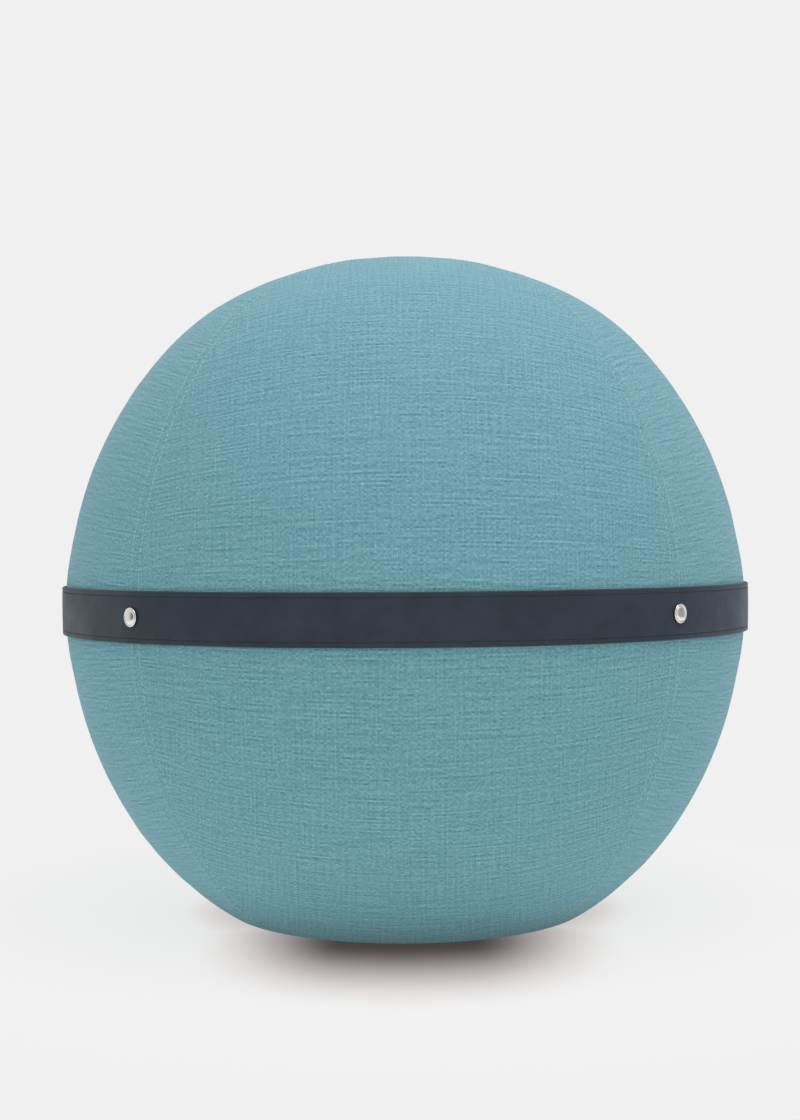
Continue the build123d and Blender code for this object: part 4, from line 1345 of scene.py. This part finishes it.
class SITTINGBALL_OT_foot(bpy.types.Operator):
    """Make the felt foot with its stitching, the ballast ring and its pocket"""

    bl_idname = "sitting_ball.foot"
    bl_label = "Foot"

    def execute(self, context):
        settings = context.scene.ball_foot
        low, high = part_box("felt_ring")
        felt_edge = rounded_rectangle((FOOT_PORT, low.z), (high.x, high.z), 1.2 * MM, steps=5)
        felt = turned_piece("felt_foot", felt_edge, pressed_felt(settings.felt), segments=256)
        place_piece(felt, "foot_felt", "felt_ring")

        low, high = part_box("ballast_pocket")
        inner, outer = POCKET_INNER + POCKET_WALL, high.x - POCKET_WALL
        crown = rounded_rectangle((POCKET_INNER, low.z), (high.x, high.z), 2.2 * MM, steps=6)
        hollow = rounded_rectangle((inner, low.z), (outer, high.z - POCKET_WALL), 1.4 * MM, steps=6)
        top = [p for p in crown if p[1] > low.z + POCKET_SKIRT]
        under = [p for p in hollow if p[1] > low.z + POCKET_SKIRT]
        feet_out = [(high.x, low.z), (outer, low.z)]
        feet_in = [(inner, low.z), (POCKET_INNER, low.z)]
        profile = sorted(top, key=lambda p: p[0]) + feet_out + sorted(under, key=lambda p: -p[0]) + feet_in
        cloth = plain_cloth("woven_cotton_pocket", settings.pocket, 1.0 * MM, 3 * MM)
        pocket = turned_piece("ballast_pocket_sewn", profile, cloth, segments=192)
        place_piece(pocket, "pocket_cloth", "ballast_pocket")
        finish_node("ballast_ring", plated_metal("zinc_plated_steel", settings.steel, 0.3, 0.5))

        turn = np.linspace(0, 2 * math.pi, 361)[:-1]
        level = np.full(len(turn), FOOT_STITCH_LEVEL)
        paths = []
        for radius in FOOT_ROWS:
            line = np.stack([radius * np.cos(turn), radius * np.sin(turn), level], axis=-1)
            paths.append((line, [(0, 0, -1)] * len(turn), True))
        thread = spun_thread("spun_polyester_foot", context.scene.ball_cover.thread)
        sizes = (settings.stitch_pitch, settings.stitch_pitch * FOOT_STITCH_SHARE, FOOT_THREAD)
        place_piece(stitched("foot_stitching", paths, thread, *sizes), "foot_felt")
        return {"FINISHED"}


# Fades over the floor: each runs between two distances, from one level to another
REAL_SHADOW = (0.3, 0.6, 0.12, 0.0)
# The contact fades, the front half, the bow and the tones make a painted contact shadow in front of the
# ball and round its foot
CONTACT_SHADOW_WIDTH = (0.048, 0.168, 1.0, 0.0)
CONTACT_SHADOW_DEPTH = (-0.148, -0.345, 1.0, 0.0)
CONTACT_SHADOW_RING = (0.14, 0.19, 0.3, 0.0)
# The bounced light is the floor's glow for all rays but the camera's: painted bounce light, dimmed near the
# ball as painted shade
BOUNCED_LIGHT = (0.141, 0.25, 0.55, 1.3)
FRONT_HALF = (-0.1, 0.0, 1.0, 0.0)
CONTACT_SHADOW_BOW = -3.0
CONTACT_SHADOW_BOUNCE = 0.25
CONTACT_SHADOW_TONES = ((0.2, "#E0DCD9"), (0.68, "#A69E9C"), (1.0, "#4B4746"))


def floor_material(settings):
    """Painted studio floor: the backdrop's colour, a share of the real shadow and a soft painted contact
    shadow.

    It glows as painted bounce light, and throws less of it back close to the ball, as painted shade where
    the ball keeps the light off it.
    """
    material = new_material("matt_studio_floor")
    tree = material.node_tree
    place = add_node(tree, "ShaderNodeTexCoord").outputs["Object"]
    away = add_node(tree, "ShaderNodeVectorMath", {0: place}, operation="LENGTH").outputs["Value"]
    side = add_node(tree, "ShaderNodeSeparateXYZ", {0: place}).outputs
    bow = add_node(tree, "ShaderNodeMath", {0: side[0], 1: side[0]}, operation="MULTIPLY")
    front = {0: bow, 1: CONTACT_SHADOW_BOW, 2: side[1]}
    front = add_node(tree, "ShaderNodeMath", front, operation="MULTIPLY_ADD")
    aside = add_node(tree, "ShaderNodeMath", {0: side[0]}, operation="ABSOLUTE")
    fades = []
    for distance, fade in (
        (away, REAL_SHADOW),
        (aside, CONTACT_SHADOW_WIDTH),
        (front, CONTACT_SHADOW_DEPTH),
        (away, CONTACT_SHADOW_RING),
        (away, BOUNCED_LIGHT),
    ):
        fade = dict(enumerate((distance, *fade)))
        fades.append(add_node(tree, "ShaderNodeMapRange", fade, interpolation_type="SMOOTHSTEP"))
    share, wide, deep, ring, bounce = fades
    near = add_node(tree, "ShaderNodeMapRange", dict(enumerate((side[1], *FRONT_HALF))))
    deep = add_node(tree, "ShaderNodeMath", {0: deep, 1: near}, operation="MULTIPLY")
    # Painted contact shadow: dark in front of the ball and in a ring round its foot
    contact_shadow = add_node(tree, "ShaderNodeMath", {0: wide, 1: deep}, operation="MULTIPLY")
    contact_shadow = add_node(tree, "ShaderNodeMath", {0: contact_shadow, 1: ring}, operation="MAXIMUM")
    seen = add_node(tree, "ShaderNodeLightPath").outputs["Is Camera Ray"]
    # For all rays but the camera's the floor glows as painted bounce light and keeps only a share of the
    # painted contact shadow
    level = add_node(tree, "ShaderNodeMapRange", {0: seen, 3: bounce, 4: 1.0})
    strong = add_node(tree, "ShaderNodeMapRange", {0: seen, 3: CONTACT_SHADOW_BOUNCE, 4: 1.0})
    contact_shadow = add_node(tree, "ShaderNodeMath", {0: contact_shadow, 1: strong}, operation="MULTIPLY")
    ramp = add_node(tree, "ShaderNodeValToRGB", {0: contact_shadow})
    stops = [(0.0, settings.floor)] + [(at, linear(tone)) for at, tone in CONTACT_SHADOW_TONES]
    while len(ramp.color_ramp.elements) < len(stops):
        ramp.color_ramp.elements.new(0.5)
    for element, (at, tint) in zip(ramp.color_ramp.elements, stops):
        element.position = at
        element.color = tuple(tint)
    plain = add_node(tree, "ShaderNodeEmission", {"Color": ramp, "Strength": level})
    matt = add_node(tree, "ShaderNodeBsdfDiffuse", {"Color": ramp})
    paint = add_node(tree, "ShaderNodeMixShader", {0: share, 1: plain, 2: matt})
    behind = add_node(tree, "ShaderNodeNewGeometry").outputs["Backfacing"]
    clear = add_node(tree, "ShaderNodeBsdfTransparent")
    return close_material(material, add_node(tree, "ShaderNodeMixShader", {0: behind, 1: paint, 2: clear}))


# The light from the horizon to overhead, as a fade over height
SKY_LIGHT = (0.0, 1.0, 0.74, 1.08)

# Dark cards: the way to each, the cosines of the angles to its soft rim and to its core, and the light left
CARDS = (
    ((1.0, -0.05, 0.0), 0.8, 0.96, 0.5),
    ((-0.9, -0.43, 0.05), 0.86, 0.99, 0.25),
)


def studio_world(settings):
    """Even light, brighter from overhead; the camera sees a plain backdrop, shiny surfaces dark cards."""
    world = bpy.data.worlds.new("studio")
    world.use_nodes = True
    tree = world.node_tree
    tree.nodes.clear()
    place = add_node(tree, "ShaderNodeTexCoord").outputs["Generated"]
    rise = add_node(tree, "ShaderNodeSeparateXYZ", {0: place}).outputs[2]
    level = add_node(tree, "ShaderNodeMapRange", dict(enumerate((rise, *SKY_LIGHT))))
    light = add_node(tree, "ShaderNodeBackground", {"Color": (1, 1, 1, 1), "Strength": level})
    backdrop = tuple(settings.backdrop)
    seen = add_node(tree, "ShaderNodeBackground", {"Color": backdrop, "Strength": 1.0})

    # Two dark cards beside the ball give the polished caps a darker middle
    level = 1.0
    for toward, rim, core, left in CARDS:
        facing = {0: place, 1: toward}
        facing = add_node(tree, "ShaderNodeVectorMath", facing, operation="DOT_PRODUCT").outputs["Value"]
        card = {0: facing, 1: rim, 2: core, 3: level, 4: left}
        level = add_node(tree, "ShaderNodeMapRange", card, interpolation_type="SMOOTHSTEP")
    mirrored = add_node(tree, "ShaderNodeBackground", {"Color": backdrop, "Strength": level})
    ray = add_node(tree, "ShaderNodeLightPath").outputs
    mixed = add_node(tree, "ShaderNodeMixShader", {0: ray["Is Glossy Ray"], 1: light, 2: mirrored})
    direct = {0: ray["Is Camera Ray"], 1: ray["Is Transmission Ray"]}
    direct = add_node(tree, "ShaderNodeMath", direct, operation="MAXIMUM")
    mixed = add_node(tree, "ShaderNodeMixShader", {0: direct, 1: mixed, 2: seen})
    add_node(tree, "ShaderNodeOutputWorld", {"Surface": mixed})
    return world


class SITTINGBALL_OT_stage(bpy.types.Operator):
    """Make the floor, the light and the camera"""

    bl_idname = "sitting_ball.stage"
    bl_label = "Stage"

    def execute(self, context):
        settings = context.scene.ball_stage
        scene = context.scene
        scene.view_settings.view_transform = "Standard"
        scene.world = studio_world(settings)
        turn = np.linspace(0, 2 * math.pi, 65)[:-1]
        level = np.full(len(turn), -FLOOR_DROP)
        points = np.stack([FLOOR_RADIUS * np.cos(turn), FLOOR_RADIUS * np.sin(turn), level], axis=-1)
        mesh = bpy.data.meshes.new("studio_floor")
        mesh.from_pydata(points.tolist(), [], [list(range(len(turn)))])
        mesh.materials.append(floor_material(settings))
        floor = link_object("studio_floor", mesh)

        lamp = bpy.data.lights.new("overhead_lamp", "AREA")
        lamp.shape = "DISK"
        lamp.size = LAMP_SIZE
        lamp.energy = settings.lamp_power
        lamp.color = settings.lamp[:3]
        overhead = link_object("overhead_lamp", lamp)
        overhead.location = LAMP_PLACE
        aim = Vector((0, 0, EQUATOR_HEIGHT)) - overhead.location
        overhead.rotation_euler = aim.to_track_quat("-Z", "Y").to_euler()

        lens = bpy.data.cameras.new("camera")
        lens.sensor_width = SENSOR_WIDTH
        lens.lens = settings.lens
        lens.shift_x = settings.shift_x
        lens.shift_y = settings.shift_y
        camera = link_object("camera", lens)
        tilt = settings.camera_elevation
        back = Vector((0, -math.cos(tilt), math.sin(tilt)))
        camera.location = Vector((0, 0, EQUATOR_HEIGHT)) + back * settings.camera_distance
        camera.rotation_mode = "QUATERNION"
        roll = Quaternion((0, 0, 1), settings.camera_roll)
        camera.rotation_quaternion = (-back).to_track_quat("-Z", "Y") @ roll
        scene.camera = camera
        return {"FINISHED"}


SETTINGS = {
    "ball_cover": CoverSettings,
    "ball_belt": BeltSettings,
    "ball_snaps": SnapSettings,
    "ball_zip": ZipSettings,
    "ball_foot": FootSettings,
    "ball_stage": StageSettings,
}
OPERATORS = [
    SITTINGBALL_OT_cover_panels,
    SITTINGBALL_OT_seam_stitching,
    SITTINGBALL_OT_belt,
    SITTINGBALL_OT_belt_stitching,
    SITTINGBALL_OT_snaps,
    SITTINGBALL_OT_zip,
    SITTINGBALL_OT_air_ball,
    SITTINGBALL_OT_foot,
    SITTINGBALL_OT_stage,
]


class SITTINGBALL_PT_sidebar(bpy.types.Panel):
    """Lists the ball's pieces and their settings"""

    bl_idname = "SITTINGBALL_PT_sidebar"
    bl_label = "Sitting ball"
    bl_space_type = "VIEW_3D"
    bl_region_type = "UI"
    bl_category = "Sitting ball"

    def draw(self, context):
        for operator in OPERATORS:
            self.layout.operator(operator.bl_idname)
        for group in SETTINGS:
            box = self.layout.box()
            values = getattr(context.scene, group)
            for name in values.bl_rna.properties.keys():
                if name not in ("rna_type", "name"):
                    box.prop(values, name)


CLASSES = [*SETTINGS.values(), *OPERATORS, SITTINGBALL_PT_sidebar]


def register():
    """Adds the add-on's classes, and its settings to the scene."""
    for item in CLASSES:
        bpy.utils.register_class(item)
    for group, kind in SETTINGS.items():
        setattr(bpy.types.Scene, group, PointerProperty(type=kind))


def unregister():
    """Takes the settings and the classes out again."""
    for group in SETTINGS:
        delattr(bpy.types.Scene, group)
    for item in reversed(CLASSES):
        bpy.utils.unregister_class(item)


def main():
    """Makes every piece."""
    register()
    for operator in OPERATORS:
        family, name = operator.bl_idname.split(".")
        getattr(getattr(bpy.ops, family), name)()


if __name__ == "__main__":
    main()
